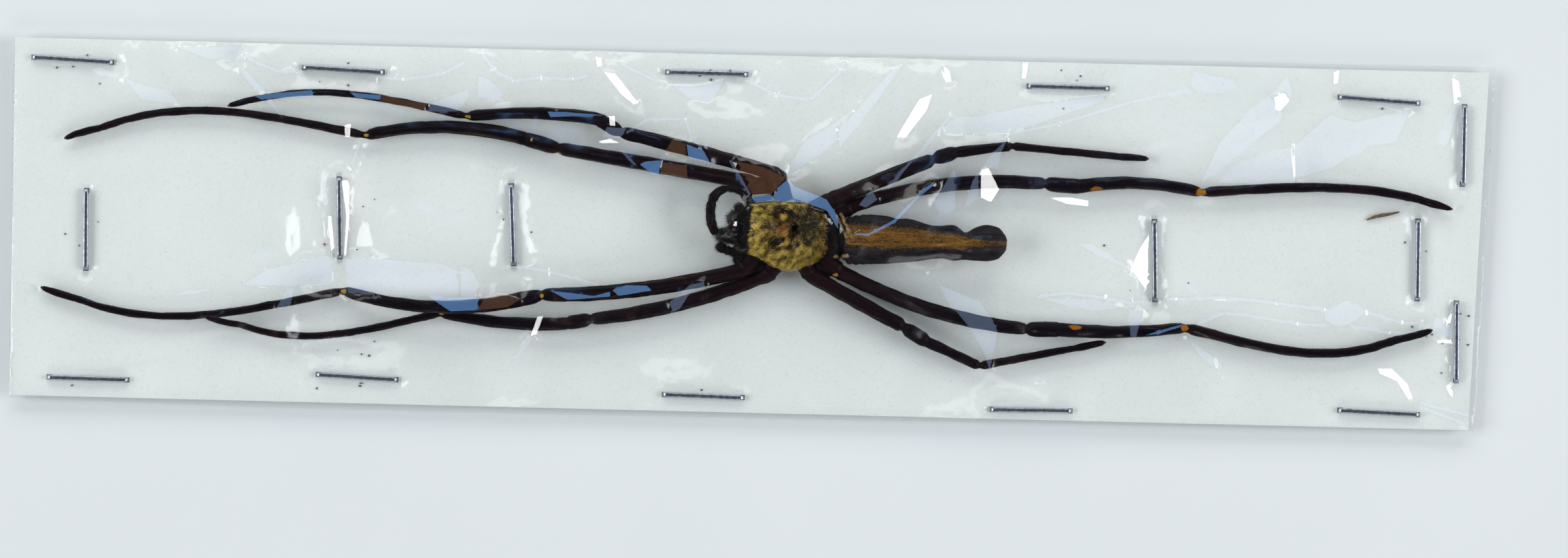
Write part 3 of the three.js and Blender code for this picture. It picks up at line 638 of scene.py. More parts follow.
def skin_finish():
    """The body: black head and hips, a dark thorax under its hair, and a golden brown stripe behind."""
    f = Finish("body_cuticle", Specular_IOR_Level=0.14)
    grain = f.noise(0.22, stretch=(3, 1, 1))
    black = f.ramp(f.noise(0.9), (0.3, (0.002, 0.0015, 0.0025)), (0.7, (0.007, 0.0035, 0.0045)))
    thorax = f.ramp(grain, (0.3, (0.022, 0.013, 0.004)), (0.7, (0.13, 0.075, 0.016)))
    thorax = f.mix(f.mark("orange"), thorax, (0.17, 0.062, 0.009))
    thorax = f.mix(f.mark("olive"), thorax, (0.062, 0.056, 0.024))
    streaks = f.noise(0.7, stretch=(2.5, 1, 1))
    flank = f.ramp(streaks, (0.35, (0.003, 0.003, 0.006)), (0.75, (0.028, 0.022, 0.026)))
    browns = [(0.02, 0.007, 0.003), (0.10, 0.04, 0.007), (0.24, 0.11, 0.018), (0.5, 0.3, 0.07)]
    back = f.ramp(f.noise(0.35, stretch=(6, 1, 1), detail=6), *zip((0.3, 0.47, 0.62, 0.8), browns))
    folds = f.noise(0.16, stretch=(1, 5, 1))
    tan = f.ramp(folds, (0.35, (0.09, 0.04, 0.012)), (0.68, (0.45, 0.33, 0.16)))
    colour = f.mix(f.mark("gold"), black, thorax)
    colour = f.mix(f.mark("flank"), colour, flank)
    colour = f.mix(f.patch("stripe", 0.5, (5, 1, 1)), colour, back)
    f.set("Base Color", f.mix(f.patch("tan", 0.4), colour, tan))
    f.rough(0.4, 0.38, 0.64)
    f.bump(f.noise(0.3, stretch=(6, 1, 1)), 0.05, f.bump(f.noise(0.08, detail=2), 0.015))
    return f.material


def gold_hair_finish():
    """Gold hairs, orange on the raised middle and olive in the basin behind it."""
    f = Finish("gold_hair", Specular_IOR_Level=0.3)
    # The shade mark is each hair's lightness. On the thorax it also holds painted shade in the pits and
    # painted highlight on the lumps, the front and the left side.
    shade = f.mark("shade")
    colour = f.mix(shade, (0.022, 0.012, 0.002), (0.86, 0.62, 0.12))
    colour = f.mix(f.mark("orange"), colour, f.mix(shade, (0.03, 0.010, 0.002), (0.62, 0.26, 0.03)))
    colour = f.mix(f.mark("olive"), colour, f.mix(shade, (0.02, 0.017, 0.006), (0.36, 0.32, 0.13)))
    f.set("Base Color", colour)
    f.rough(0.3, 0.4, 0.56)
    return f.material


def dark_hair_finish():
    """Black hairs, a few of them pale by the shade value of each."""
    f = Finish("dark_hair", Specular_IOR_Level=0.2)
    f.set("Base Color", f.mix(f.mark("shade"), (0.004, 0.0025, 0.0035), (0.14, 0.10, 0.035)))
    f.rough(0.3, 0.45, 0.62)
    return f.material


def gloss_finish(name, one, other, roughness):
    """A glossy shell that wanders between two colours."""
    f = Finish(name, Specular_IOR_Level=0.5)
    f.set("Base Color", f.ramp(f.noise(0.6), (0.35, one), (0.7, other)))
    f.rough(0.2, roughness * 0.7, roughness * 1.4)
    f.bump(f.noise(0.15, detail=2), 0.01)
    return f.material


def card_finish():
    """Pale coated board with faint mottling and fibres."""
    f = Finish("card_stock", Specular_IOR_Level=0.35)
    cloud = f.ramp(f.noise(14), (0.35, (0.80, 0.845, 0.825)), (0.7, (0.84, 0.88, 0.865)))
    fleck = f.ramp(f.noise(0.25, detail=5), (0.28, (0.9, 0.9, 0.89)), (0.45, (1, 1, 1)))
    f.set("Base Color", f.mix(1.0, cloud, fleck, blend="MULTIPLY"))
    f.rough(3, 0.5, 0.7)
    f.bump(f.noise(0.5, detail=6), 0.02)
    return f.material


def steel_finish():
    """Drawn and galvanised wire with dull patches."""
    f = Finish("galvanised_wire", Metallic=1.0)
    dull = f.noise(0.4, detail=5)
    f.set("Base Color", f.ramp(dull, (0.35, (0.24, 0.26, 0.31)), (0.7, (0.50, 0.53, 0.60))))
    f.rough(0.25, 0.22, 0.45)
    f.bump(f.noise(0.08, detail=2), 0.01)
    return f.material


# Shares of what the film mirrors when seen straight on, and of what it mirrors outside its crisp facets.
FILM_MIRROR = 0.08
FILM_DULL = 0.55


def film_finish():
    """Thin clear film: what it doesn't mirror goes straight through. Only its facets mirror crisply."""
    f = Finish("clear_film")
    glance = f.add("ShaderNodeLayerWeight")
    steep = f.math("POWER", glance.outputs["Facing"], 5.0)
    share = f.math("MULTIPLY_ADD", steep, 1 - FILM_MIRROR, FILM_MIRROR)
    share = f.math("MULTIPLY", share, f.between(f.mark("crisp"), FILM_DULL, 1.0))
    gloss = f.add("ShaderNodeBsdfGlossy")
    crisp, polish = f.mark("crisp"), f.between(f.noise(5, detail=2), 0.03, 0.09)
    f.plug(gloss.inputs["Roughness"], f.between(crisp, 0.16, polish))
    f.plug(gloss.inputs["Normal"], f.bump(f.noise(6, detail=1), 0.006))
    clear = f.add("ShaderNodeBsdfTransparent")
    clear.inputs["Color"].default_value = (0.985, 0.99, 0.99, 1)
    both = f.add("ShaderNodeMixShader")
    for socket, value in zip(both.inputs, (share, clear.outputs[0], gloss.outputs[0])):
        f.plug(socket, value)
    f.tree.nodes.remove(f.shader)
    f.plug(f.tree.nodes["Material Output"].inputs["Surface"], both.outputs[0])
    return f.material


def table_finish():
    """The pale floor, nearly even."""
    f = Finish("pale_table", Specular_IOR_Level=0.3)
    f.set("Base Color", f.ramp(f.noise(60), (0.4, (0.75, 0.785, 0.80)), (0.7, (0.77, 0.805, 0.82))))
    f.rough(20, 0.55, 0.7)
    return f.material


# Body

EAST = np.array([1.0, 0, 0])

# Rings of the front body and the abdomen, and the points in each.
BODY_SIDES = 96
PROSOMA_RINGS = 90
ABDOMEN_RINGS = 150

# The body's skin: size of its faces, rounds of smoothing where its parts meet, and its gap to the card.
SKIN_VOXEL = 0.075
SKIN_ROUNDS = 4
SKIN_GAP = 0.06


def shares(count):
    """Shares from 0 to 1 that crowd together at both ends."""
    return np.sin(np.linspace(0, 1, count) * math.pi / 2) ** 2


def upright_rings(stations, sides, section=None):
    """Rings across the length from stations of [x, y, z, half width, half height]. section turns points of
    a round ring, in units of the two halves, and the stations' numbers into the ring's own points."""
    angle = np.arange(sides) * math.tau / sides
    number = np.arange(len(stations))[:, None]
    across, up = np.cos(angle) + 0 * number, np.sin(angle) + 0 * number
    if section:
        across, up = section(across, up, number)
    x, y, z, wide, high = (stations[:, k, None] for k in range(5))
    return np.stack([x + 0 * across, y - across * wide, z + up * high], -1)


def prosoma():
    """Rings of the head and thorax."""
    t = shares(PROSOMA_RINGS)
    skew = PROSOMA["skew"] * np.clip(1 - t / 0.5, 0, None)
    wide = PROSOMA["width"] / 2 * profile(PROSOMA_WIDTHS, t)
    above = profile(PROSOMA_CREST, t) - PROSOMA["rim"]
    below = (PROSOMA["rim"] - PROSOMA["lie"]) * np.minimum(1, 0.55 + 4 * np.minimum(t, 1 - t))
    x = PROSOMA["front"] + PROSOMA["length"] * t
    level = np.full_like(t, REST + PROSOMA["rim"])
    stations = np.stack([x, skew, level, wide, np.ones_like(t)], -1)

    def section(across, up, i):
        tuck = np.where(up < 0, 1 - 0.36 * up**2, 1)
        return across * tuck, up * np.where(up < 0, below[i], above[i])

    return upright_rings(stations, BODY_SIDES, section)


def abdomen_stations(x):
    """Half width, underside, back and sideways shift of the abdomen at places x."""
    t = (x - ABDOMEN["front"]) / ABDOMEN["length"]
    share, low, high, side = (profile(ABDOMEN_SECTIONS[:, [0, k]], t) for k in range(1, 5))
    return ABDOMEN["width"] / 2 * share, REST + low, REST + high, ABDOMEN["side"] + side


def abdomen():
    """Rings of the abdomen, whose back is a little flattened."""
    x = ABDOMEN["front"] + ABDOMEN["length"] * shares(ABDOMEN_RINGS)
    wide, low, high, side = abdomen_stations(x)
    stations = np.stack([x, side, (low + high) / 2, wide, (high - low) / 2], -1)

    def section(across, up, i):
        return across, up - 0.1 * np.clip(up - 0.55, 0, 1)

    return upright_rings(stations, BODY_SIDES, section)


def dome(centre, halves):
    """A closed ball with these half sizes."""
    tilt = np.linspace(0.02, math.pi - 0.02, 18)
    x = centre[0] - halves[0] * np.cos(tilt)
    middle = np.tile(centre[1:], (18, 1))
    around = np.sin(tilt)[:, None] * np.array(halves[1:])
    return loft(upright_rings(np.hstack([x[:, None], middle, around]), 28))


def eye_places():
    """The middle of each mound and of each eye."""
    mounds, eyes = [], []
    for (radius, forward, sideways, height), offsets in EYE_MOUNDS:
        middle = np.array([PROSOMA["front"] + forward, PROSOMA["skew"] + sideways, REST + height])
        mounds.append((radius, middle))
        eyes += [middle + offset for offset in offsets]
    return mounds, eyes


def carapace_relief(points, out):
    """How far the thorax stands out from its smooth form: lobes, pits and grooves, two small horns, a
    wrinkled front and a rolled rim."""
    x = points[:, 0]
    relief = sum(height * mound(points, place, halves) for place, halves, height in THORAX_FORMS)
    for side in (1, -1):
        for reach, bearing, depth in GROOVES:
            run = reach * heading_axes(bearing * side)[0]
            distance, share = near_line(points, FOVEA, (FOVEA[0] + run[0], FOVEA[1] * 0.4 + run[1]))
            relief -= depth * bump_at(distance, 0.24 + 0.1 * share) * np.clip(3 * (1 - share), 0.25, 1)
    for horn in HORNS:
        distance = np.hypot(*(points[:, :2] - horn).T)
        relief += 0.55 * np.clip(1 - distance / 0.55, 0, 1) ** 1.3 - 0.2 * bump_at(distance - 0.8, 0.3)
    relief += 0.07 * ripples(points, 0.8, 12) * (x < 0.6)
    relief += 0.08 * ripples(points, 1.5, 11) + 0.035 * ripples(points, 0.55, 13)
    relief *= np.clip(out[:, 2] * 1.6, 0, 1) * (x < THORAX_END)
    over_rim = points[:, 2] - REST - PROSOMA["rim"]
    rim = 0.13 * bump_at(over_rim - 0.1, 0.22) - 0.12 * bump_at(over_rim + 0.55, 0.4)
    return relief + rim * (x < THORAX_END) * (x > 0.4)


def abdomen_relief(points, out_z):
    """Wrinkles of the dried abdomen: long folds, cross folds behind the waist and lumps on the flanks."""
    x = points[:, 0]
    wide, low, high, side = abdomen_stations(x)
    across, up = (points[:, 1] - side) / (2 * wide), (points[:, 2] - (low + high) / 2) / (high - low)
    angle = np.arctan2(up, across)
    inside = np.clip((x - 10.8) / 0.8, 0, 1)
    tail = np.clip((x - 24.5) / 1.2, 0, 1)
    wander = 0.5 * ripples(points, 5, 21, (2.5, 1, 1))
    folds = np.sin(22 * angle + 4 * wander)
    fine = np.sin(47 * angle + 5 * wander)
    relief = inside * (0.075 * folds * (1 - 0.55 * tail) + 0.035 * fine)
    relief += bump_at(x - 12.0, 1.3) * 0.07 * np.sin((x + 0.35 * points[:, 1]) * math.tau / 0.85)
    relief += inside * (1 - tail) * 0.11 * ripples(points, 3.0, 22, (1.8, 1, 1))
    for ends in TAN_FOLDS:
        relief += 0.17 * bump_at(near_line(points, *ends)[0], 0.18) * (out_z > 0)
    relief += 0.2 * mound(points, (12.8, 1.2), (0.9, 0.6))
    return relief - 0.22 * mound(points, (16.9, 2.3), (0.8, 0.8))


def gold_cover(points):
    """How much gold hair there is: none at the rim, the front, the waist and the bare spots."""
    x, y = points[:, 0], points[:, 1]
    t = (x - PROSOMA["front"]) / PROSOMA["length"]
    aside = np.abs(y - PROSOMA["skew"] * np.clip(1 - 2 * t, 0, None))
    within = PROSOMA["width"] / 2 * profile(PROSOMA_WIDTHS, t) + 0.15 - aside
    ragged = 0.12 * ripples(points, 0.9, 23)
    gold = np.clip((x - 0.45 - 0.1 * y.clip(0) + ragged) / 0.3 + 0.5, 0, 1)
    gold *= np.clip((8.9 - x + ragged) / 0.3, 0, 1)
    near = points + 0.1 * ripples(points, 0.6, 25)[:, None]
    gold *= 1 - np.clip(1.3 * np.max([mound(near, place, (size, size)) for place, size in SPOTS], 0), 0, 1)
    return gold * np.clip((points[:, 2] - REST - 2.15) / 0.35, 0, 1) * np.clip(within / 0.25, 0, 1)


def body_marks(points, out):
    """Where the gold hair with its orange and olive parts, the flanks, the stripe and the tan folds are."""
    x, y = points[:, 0], points[:, 1]
    gold = gold_cover(points)
    orange = mound(points, (4.1, 0.6), (1.2, 1.4)) + 0.6 * bump_at(x - 8.5, 0.4)
    olive = 0.9 * mound(points, (6.9, 1.1), (1.2, 1.5))
    across = np.abs(y - profile(STRIPE_MIDDLE, x)) / profile(STRIPE_HALF, x)
    stripe = np.clip(1.5 - across, 0, 1) * profile(STRIPE_STRENGTH, x) * (out[:, 2] > 0.05) * (x > 11.0)
    folds = np.max([bump_at(near_line(points, *ends)[0], 0.24) for ends in TAN_FOLDS], 0)
    tan = folds * (0.85 + 0.35 * ripples(points, 1.2, 24)) * (out[:, 2] > 0)
    marks = {"gold": gold, "orange": orange * gold, "olive": olive * gold, "flank": (x > 11.0) * 1.0}
    return marks | {"stripe": stripe, "tan": tan}


def body_parts():
    """The overlapping closed parts that the body's skin goes round."""
    start, end = PROSOMA["front"] + PROSOMA["length"] - 1.2, ABDOMEN["front"] + 0.9
    middle = [PEDICEL["side"], REST + PEDICEL["level"], PEDICEL["width"] / 2, PEDICEL["height"] / 2]
    stalk = np.array([[x, *middle] for x in np.linspace(start, end, 12)])
    parts = [loft(prosoma()), loft(abdomen()), loft(upright_rings(stalk, 40))]
    parts += [dome(middle, [radius] * 3) for radius, middle in eye_places()[0]]
    parts += [dome((x, y, REST + z), halves) for (x, y, z), halves in HIP_MASSES]
    for ends, heights in zip(TAN_FOLDS, RIDGE_HEIGHTS):
        places = np.column_stack([np.linspace(*ends, 3), REST + np.array(heights)])
        line, radius = smooth_limb(places, [0.15, 0.22, 0.15])
        radius = rounded_end(rounded_end(radius, line), line, at_start=True)
        parts.append(loft(limb_rings(line, radius, 16)))
    return parts


def make_body(finish):
    """The body's one skin with its relief. Gives its points, faces, ways out and marks."""
    points, quads = fuse(body_parts(), SKIN_VOXEL)
    points = smoothed(points, quads, SKIN_ROUNDS)
    out = point_normals(points, quads)
    behind = points[:, 0] > THORAX_END + 0.3
    relief = carapace_relief(points, out) + abdomen_relief(points, out[:, 2]) * behind
    points = points + out * relief[:, None]
    points[:, 2] = np.maximum(points[:, 2], CARD_TOP + SKIN_GAP)
    points = smoothed(points, quads, 1)
    out = point_normals(points, quads)
    marks = body_marks(points, out)
    replaced = ["cephalothorax", "pedicel", "abdomen"]
    add_piece("body_skin", points, [quads], finish, "carapace", replaced, marks)
    return (points, quads, out), marks


def sampled(points, quads, out, density, count, draw):
    """Roots at random places of the faces, by their area and density, with the way out at each."""
    area = np.linalg.norm(face_normals(points, quads), axis=1)
    weight = area * density[quads].mean(1)
    chosen = draw.choice(len(quads), count, p=weight / weight.sum())
    share = draw.dirichlet(np.ones(4), count)
    roots = (points[quads[chosen]] * share[..., None]).sum(1)
    return roots, unit((out[quads[chosen]] * share[..., None]).sum(1))


def grow_coat(name, skin, density, draw, flow, tones, finish, slot):
    """A coat of hair on the skin. flow gives its way and tones its marks at the roots."""
    count, stray, lengths, widths, lifts = COATS[name]
    roots, normals = sampled(*skin, density, count, draw)
    along = flow(roots) + draw.normal(0, stray, roots.shape)
    sizes = draw.uniform(*lengths, count), draw.uniform(*widths, count)
    values = tones(roots, normals)
    lift = np.radians(draw.uniform(*lifts, count))
    turn = np.arctan2(roots[:, 2] - REST - 2, roots[:, 1]) / math.tau + 0.5
    unrolled = np.stack([(roots[:, 0] + 6) / 36, turn], -1)
    add_tufts(name, roots, normals, along, sizes, lift, unrolled, finish, slot, values)


def make_body_hair(skin, marks, gold, dark):
    """The thorax's dense gold coat, then black hair on the head and hips, and short hair on the abdomen."""
    draw = np.random.default_rng(31)
    x, up = skin[0][:, 0], skin[2][:, 2]

    def outward(roots):
        away = roots - np.array([FOVEA[0] + 0.4, FOVEA[1], roots[:, 2].mean()])
        away[:, 2] = 0
        swirl = np.stack([ripples(roots, 2.2, 35), ripples(roots, 2.2, 36), 0 * roots[:, 0]], -1)
        return unit(away) + np.array([-0.75, 0, 0]) + 0.5 * swirl

    def golden(roots, normals):
        tones = body_marks(roots, normals)
        front, left = np.clip((2.2 - roots[:, 0]) / 1.5, 0, 1), np.clip((-1.0 - roots[:, 1]) / 1.5, 0, 1)
        shade = draw.normal(0.3, 0.3, len(roots)) + 0.3 * ripples(roots, 0.9, 33)
        # Painted light: besides its random lightness, each hair is made lighter towards the thorax's front
        # and its left side as a painted highlight, and lighter on the relief's lumps and darker in its pits
        # as painted highlight and painted shade.
        shade += 0.3 * front + 0.25 * left + 1.3 * carapace_relief(roots, normals) - 0.05 * tones["olive"]
        return {"shade": np.clip(shade, 0, 1), "orange": tones["orange"], "olive": tones["olive"]}

    def from_the_middle(roots):
        return np.array([-1.0, 0, 0.2]) * np.sign(6 - roots[:, :1])

    def blackish(roots, normals):
        return {"shade": np.clip(draw.normal(-0.2, 0.3, len(roots)), 0, 1)}

    def striped(roots, normals):
        stripe = body_marks(roots, normals)["stripe"]
        shade = stripe * draw.uniform(0.1, 0.8, len(roots)) + draw.normal(0, 0.06, len(roots))
        return {"shade": np.clip(shade, 0, 1), "orange": 0.75 * stripe, "olive": 0 * stripe}

    density = marks["gold"] ** 2 * (1 - 0.5 * marks["olive"])
    grow_coat("carapace_hair", skin, density, draw, outward, golden, gold, "carapace")
    density = (marks["gold"] < 0.15) * (x < 11.0) * np.clip(up + 0.4, 0, 1) * (1 + 2 * (x < 0.5))
    grow_coat("head_hair", skin, density, draw, from_the_middle, blackish, dark, "carapace")
    density = (x > 11.4) * (0.1 + marks["stripe"])
    grow_coat("abdomen_hair", skin, density, draw, lambda roots: EAST, striped, gold, "abdomen")


def make_eyes(finish):
    """All eight eyes as one piece."""
    points, faces = join([dome(eye, [EYE_RADIUS] * 3) for eye in eye_places()[1]])
    add_piece("eyes", points, faces, finish, "eyes", ["eyes_median", "eyes_lateral_r", "eyes_lateral_l"])


# Limbs


def frames_along(line):
    """Directions along, across and up at each point of a line."""
    along = unit(np.gradient(line, axis=0))
    across = unit(np.cross(along, [0, 0, 1]))
    return along, across, np.cross(across, along)


def limb_rings(line, radius, sides, crease=None):
    """Round rings about a line, with lengthwise creases of [angle, width in radians, depth by station]."""
    _, across, up = frames_along(line)
    angle = np.arange(sides) * math.tau / sides
    size = np.repeat(radius[:, None], sides, 1)
    for centre, width, depth in crease or []:
        turn = np.angle(np.exp(1j * (angle - centre)))
        size = size * (1 - depth[:, None] * bump_at(turn, width)[None])
    offset = np.cos(angle)[None, :, None] * across[:, None] + np.sin(angle)[None, :, None] * up[:, None]
    return line[:, None] + offset * size[..., None]


def smooth_limb(points, radii, step=0.07):
    """Points and radii along a smooth line through a few of each."""
    points = np.array(points, float)
    place = lengths_along(points)
    s = np.arange(0, place[-1], step)
    line = np.stack([profile(np.stack([place, points[:, k]], -1), s) for k in range(3)], -1)
    return blur(line, 3), profile(np.stack([place, radii], -1), s)


def lengths_along(line):
    """The length of a line up to each of its points."""
    return np.concatenate([[0], np.cumsum(np.linalg.norm(np.diff(line, axis=0), axis=1))])


def rounded_end(radius, line, at_start=False):
    """The radius drawn in to a round end."""
    s = lengths_along(line)
    left = s if at_start else s[-1] - s
    reach = radius[0] if at_start else radius[-1]
    return radius * np.sqrt(np.clip(1 - np.clip(1 - left / reach, 0, 1) ** 2, 0.001, 1))


def limb(points, radii, sides, step=0.07):
    """A smooth line through points over the rest level, and round rings about it with a round end."""
    line, radius = smooth_limb(np.array(points) + (0, 0, REST), radii, step)
    return line, limb_rings(line, rounded_end(radius, line), sides)


def limb_hair(name, kind, count, rings, line, finish, draw):
    """Short hairs all round a limb that point to its end."""
    lengths, lifts, width = LIMB_HAIR[kind]
    stations, sides = rings.shape[:2]
    i = draw.integers(1, stations - 2, count)
    j = draw.integers(0, sides, count)
    between = draw.uniform(0, 1, (count, 1))
    roots = rings[i, j] * (1 - between) + rings[i + 1, j] * between
    out = unit(roots - line[i])
    along = frames_along(line)[0][i] + draw.normal(0, 0.15, (count, 3))
    sizes = (draw.uniform(*lengths, count), np.full(count, width))
    lift = np.radians(draw.uniform(*lifts, count))
    spread = np.stack([i / stations, j / sides], -1)
    shade = np.clip(draw.normal(0.05, 0.22, count), 0, 1)
    add_tufts(name, roots, out, along, sizes, lift, spread, finish, "legs", {"shade": shade})


def make_palps(finish, hair):
    """The two palps, drawn in at their joints and a little swollen before them."""
    draw = np.random.default_rng(41)
    for name, places in PALPS.items():
        places = np.array(places)
        line, radius = smooth_limb(places[:, :3] + (0, 0, REST), PALP_RADIUS * places[:, 3])
        share = np.linspace(0, 1, len(line))
        for joint in PALP_JOINTS[name]:
            swelling = 0.06 * bump_at(share - joint + 0.05, 0.03)
            radius = radius * (1 - 0.16 * bump_at(share - joint, 0.018) + swelling)
        rings = limb_rings(line, rounded_end(radius, line), 36, [(1.9, 0.5, 0.1 + 0 * share)])
        rings += 0.02 * ripples(rings, 0.8, 42)[..., None]
        points, faces = loft(rings)
        none = np.zeros(len(points))
        marks = {"pale": none, "warmth": none, "ruddy": none + 0.15}
        add_piece(f"{name}_skin", points, faces, finish, "legs", [name], marks)
        limb_hair(f"{name}_hair", "palp", 1700, rings, line, hair, draw)


def make_jaws(finish, tip_finish, hair):
    """Two stout jaws under the head, the left one reaching further forward, each with a fang folded in."""
    draw = np.random.default_rng(55)
    front = PROSOMA["front"] + 0.1
    for side, sign in (("r", 1), ("l", -1)):
        reach, middle = JAW["reach"][side], PROSOMA["skew"] - 0.1 + sign * JAW["spread"]
        places = [(front + x + reach * shift, middle, z) for x, shift, z, _ in JAW_LINE]
        line, rings = limb(places, JAW_RADIUS * np.array(JAW_LINE)[:, 3], 40)
        rings += (0.05 * ripples(rings, 0.9, 51) + 0.03 * ripples(rings, 0.3, 52))[..., None]
        limb_hair(f"chelicera_{side}_hair", "jaw", 900, rings, line, hair, draw)
        add_piece(f"chelicera_{side}_skin", *loft(rings), finish, "jaws", [f"chelicera_{side}"])
        tip = places[-1][0]
        places = [(tip + x, middle - sign * shift, z) for x, shift, z, _ in FANG_LINE]
        _, rings = limb(places, np.array(FANG_LINE)[:, 3], 24, 0.04)
        add_piece(f"fang_{side}_curved", *loft(rings), tip_finish, "jaws", [f"fang_{side}"])


def make_spinnerets(finish):
    """A short stub at the tail with four cones."""
    root = ABDOMEN["front"] + ABDOMEN["length"] - 2.6
    y = ABDOMEN["side"]
    parts = [dome((root, y, REST + 0.5), [0.42] * 3)]
    for side, length in SPINNERETS:
        places = [(root - 0.1, y + side * 0.6, 0.5), (root + 0.5 * length, y + side, 0.42),
                  (root + length, y + side * 1.5, 0.3)]
        parts.append(loft(limb(places, [0.27, 0.25, 0.1], 20, 0.05)[1]))
    points, faces = join(parts)
    add_piece("spinneret_cones", points, faces, finish, "abdomen", ["spinnerets"])


# Legs

LEG_STEP = 0.13
LEG_SIDES = 36
HAIRS_BY_LENGTH = 60


def leg_line(name):
    """A leg's line from hip to claw, its radius and length so far at each point, and its segments' ends."""
    hip, *segments = LEGS[name]
    start = np.array([hip[0], hip[1], REST + hip[2]])
    lines, pairs, ends, place = [], [], {}, 0.0
    for kind, thick, (length, heading, height, *bend) in zip(SEGMENTS, THICKNESS[name[1]], segments):
        bow, lift = (bend + [0, 0])[:2]
        end = np.array([*(start[:2] + length * heading_axes(heading)[0]), REST + height])
        t = np.linspace(0, 1, round(length / LEG_STEP) + 1)[:-1]
        arch = 4 * t * (1 - t)
        curl = METATARSUS_CURL if kind == "metatarsus" else 0
        line = start + t[:, None] * (end - start)
        line[:, 1] += bow * arch * (1 + curl * (2 * t - 1))
        line[:, 2] += lift * arch
        lines.append(line)
        pairs += [(place + share * length, thick / 2 * swell) for share, swell in SWELLINGS[kind]]
        ends[kind] = (place, place + length)
        place += length
        start = end
    line = blur(np.vstack([*lines, start[None]]), 3)
    s = np.linspace(0, place, len(line))
    return line, profile(pairs, s), s, ends


def leg_marks(name, s, ends):
    """The marks' values on each ring's points."""
    angle = np.degrees(np.arange(LEG_SIDES) * math.tau / LEG_SIDES)[None]
    pale, warmth = np.zeros((len(s), LEG_SIDES)), np.zeros((len(s), LEG_SIDES))
    for kind, share, half, tone, around, spread in MARKS.get(name, []):
        start, end = ends[kind]
        near = bump_at(s - (start + share * (end - start)), half)[:, None]
        near = near * bump_at((angle - around + 180) % 360 - 180, spread)
        warmth = np.where(near > pale, tone, warmth)
        pale = np.maximum(pale, near)
    ruddy = 0.7 * np.clip(1 - (s - 3) / 12, 0, 1) + 0.25 * bump_at(s - ends["metatarsus"][0] - 2, 3)
    return {"pale": pale, "warmth": warmth, "ruddy": np.repeat(ruddy[:, None], LEG_SIDES, 1)}


def leg_creases(s, ends, draw):
    """The lengthwise creases: one along the top and a weaker one on each side of every long segment."""
    creases = []
    for kind, depth in CREASE_DEPTHS.items():
        start, end = ends[kind]
        along = np.clip(np.minimum(s - start - 0.6, end - 0.6 - s) / 1.5, 0, 1)
        creases.append((draw.uniform(1.2, 1.9), 0.3, depth * along))
        creases.append((draw.uniform(0.1, 0.6), 0.35, 0.6 * depth * along))
        creases.append((draw.uniform(2.5, 3.0), 0.35, 0.6 * depth * along))
    return creases


def make_leg(name, finish, hair):
    """A leg's skin and hair. Gives its claws."""
    draw = np.random.default_rng([61, *map(ord, name)])
    line, radius, s, ends = leg_line(name)
    for kind, depth in JOINT_DEPTHS.items():
        joint = s - ends[kind][0]
        radius = radius * (1 - depth * bump_at(joint, 0.16) + depth * 0.35 * bump_at(joint + 0.42, 0.22))
    radius = rounded_end(rounded_end(radius, line), line, at_start=True)
    rings = limb_rings(line, radius, LEG_SIDES, leg_creases(s, ends, draw))
    out = unit(rings - line[:, None])
    rough = 0.028 * ripples(rings, 1.1, 62, (2.5, 1, 1)) + 0.012 * ripples(rings, 0.4, 63)
    rings = rings + out * rough[..., None]
    rings[..., 2] = np.maximum(rings[..., 2], CARD_TOP + 0.03)
    points, faces = loft(rings)
    marks = {mark: np.concatenate([values.ravel(), values[[0, -1], 0]])
             for mark, values in leg_marks(name, s, ends).items()}
    nodes = [f"leg_{name}_{pair}" for pair in ("coxa_femur", "patella_tibia", "metatarsus_tarsus")]
    add_piece(f"leg_{name}_skin", points, faces, finish, "legs", nodes, marks)
    limb_hair(f"leg_{name}_hair", "leg", int(HAIRS_BY_LENGTH * s[-1]), rings, line, hair, draw)
    return leg_claws(line)


def leg_claws(line):
    """Three small hooks at the end of a leg."""
    along, across, up = (d[-4] for d in frames_along(line))
    tip = line[-2]
    parts = []
    for side in (-1, 0, 1):
        places = [tip - 0.15 * along, tip + 0.1 * along + side * 0.07 * across + 0.03 * up,
                  tip + 0.26 * along + side * 0.12 * across - 0.05 * up]
        hook, radius = smooth_limb(places, [0.06, 0.045, 0.012], 0.03)
        parts.append(loft(limb_rings(hook, radius, 10)))
    return parts


# Card and staples


def rounded_path(corners, radius, steps=6):
    """A path through corners, each rounded by an arc."""
    corners = np.array(corners, float)
    path = [corners[0]]
    for before, corner, after in zip(corners, corners[1:], corners[2:]):
        first, second = unit(before - corner), unit(after - corner)
        for t in np.linspace(0, 1, steps + 1):
            path.append(corner + radius * ((1 - t) ** 2 * first + t**2 * second))
    return np.array([*path, corners[-1]])


def make_staple(name, place, finish, draw):
    """A bent wire with its crown on the film, and its ends turned in and up under the card."""
    x, y, heading = place
    half, wire, low = (STAPLE["crown"] - STAPLE["wire"]) / 2, STAPLE["wire"], STAPLE["low"]
    tip = STAPLE["clinch"] - wire
    left = [(-half + tip, STAPLE["tip"]), (-half + tip * 0.5, low), (-half, low),
            (-half, STAPLE["top"] - wire / 2)]
    path = rounded_path([*left, *((-a, b) for a, b in reversed(left))], STAPLE["bend"])
    wander = draw.normal(0, 0.03, 2)
    sway = wander[0] * np.sin(path[:, 0] * 0.5) + wander[1] * np.cos(path[:, 0] * 0.35)
    line = np.stack([path[:, 0], sway, path[:, 1]], -1)
    along = unit(np.gradient(line, axis=0))
    across = unit(np.cross([0, 1, 0], along))
    level = unit(np.cross(along, across))
    angle = np.arange(20) * math.tau / 20
    size = 0.45 * wire * (np.cos(angle) ** 4 + np.sin(angle) ** 4) ** -0.25
    wide = (size * np.cos(angle))[:, None] * STAPLE["flatness"]
    thick = (size * np.sin(angle))[:, None]
    rings = line[:, None] + wide * level[:, None] + thick * across[:, None]
    turn = np.eye(3)
    turn[:2, :2] = heading_axes(heading)
    points, faces = loft(rings @ turn + np.array([x, y, 0]))
    add_piece(f"{name}_wire", points, faces, finish, "staple_wire", [name], sharp=60)


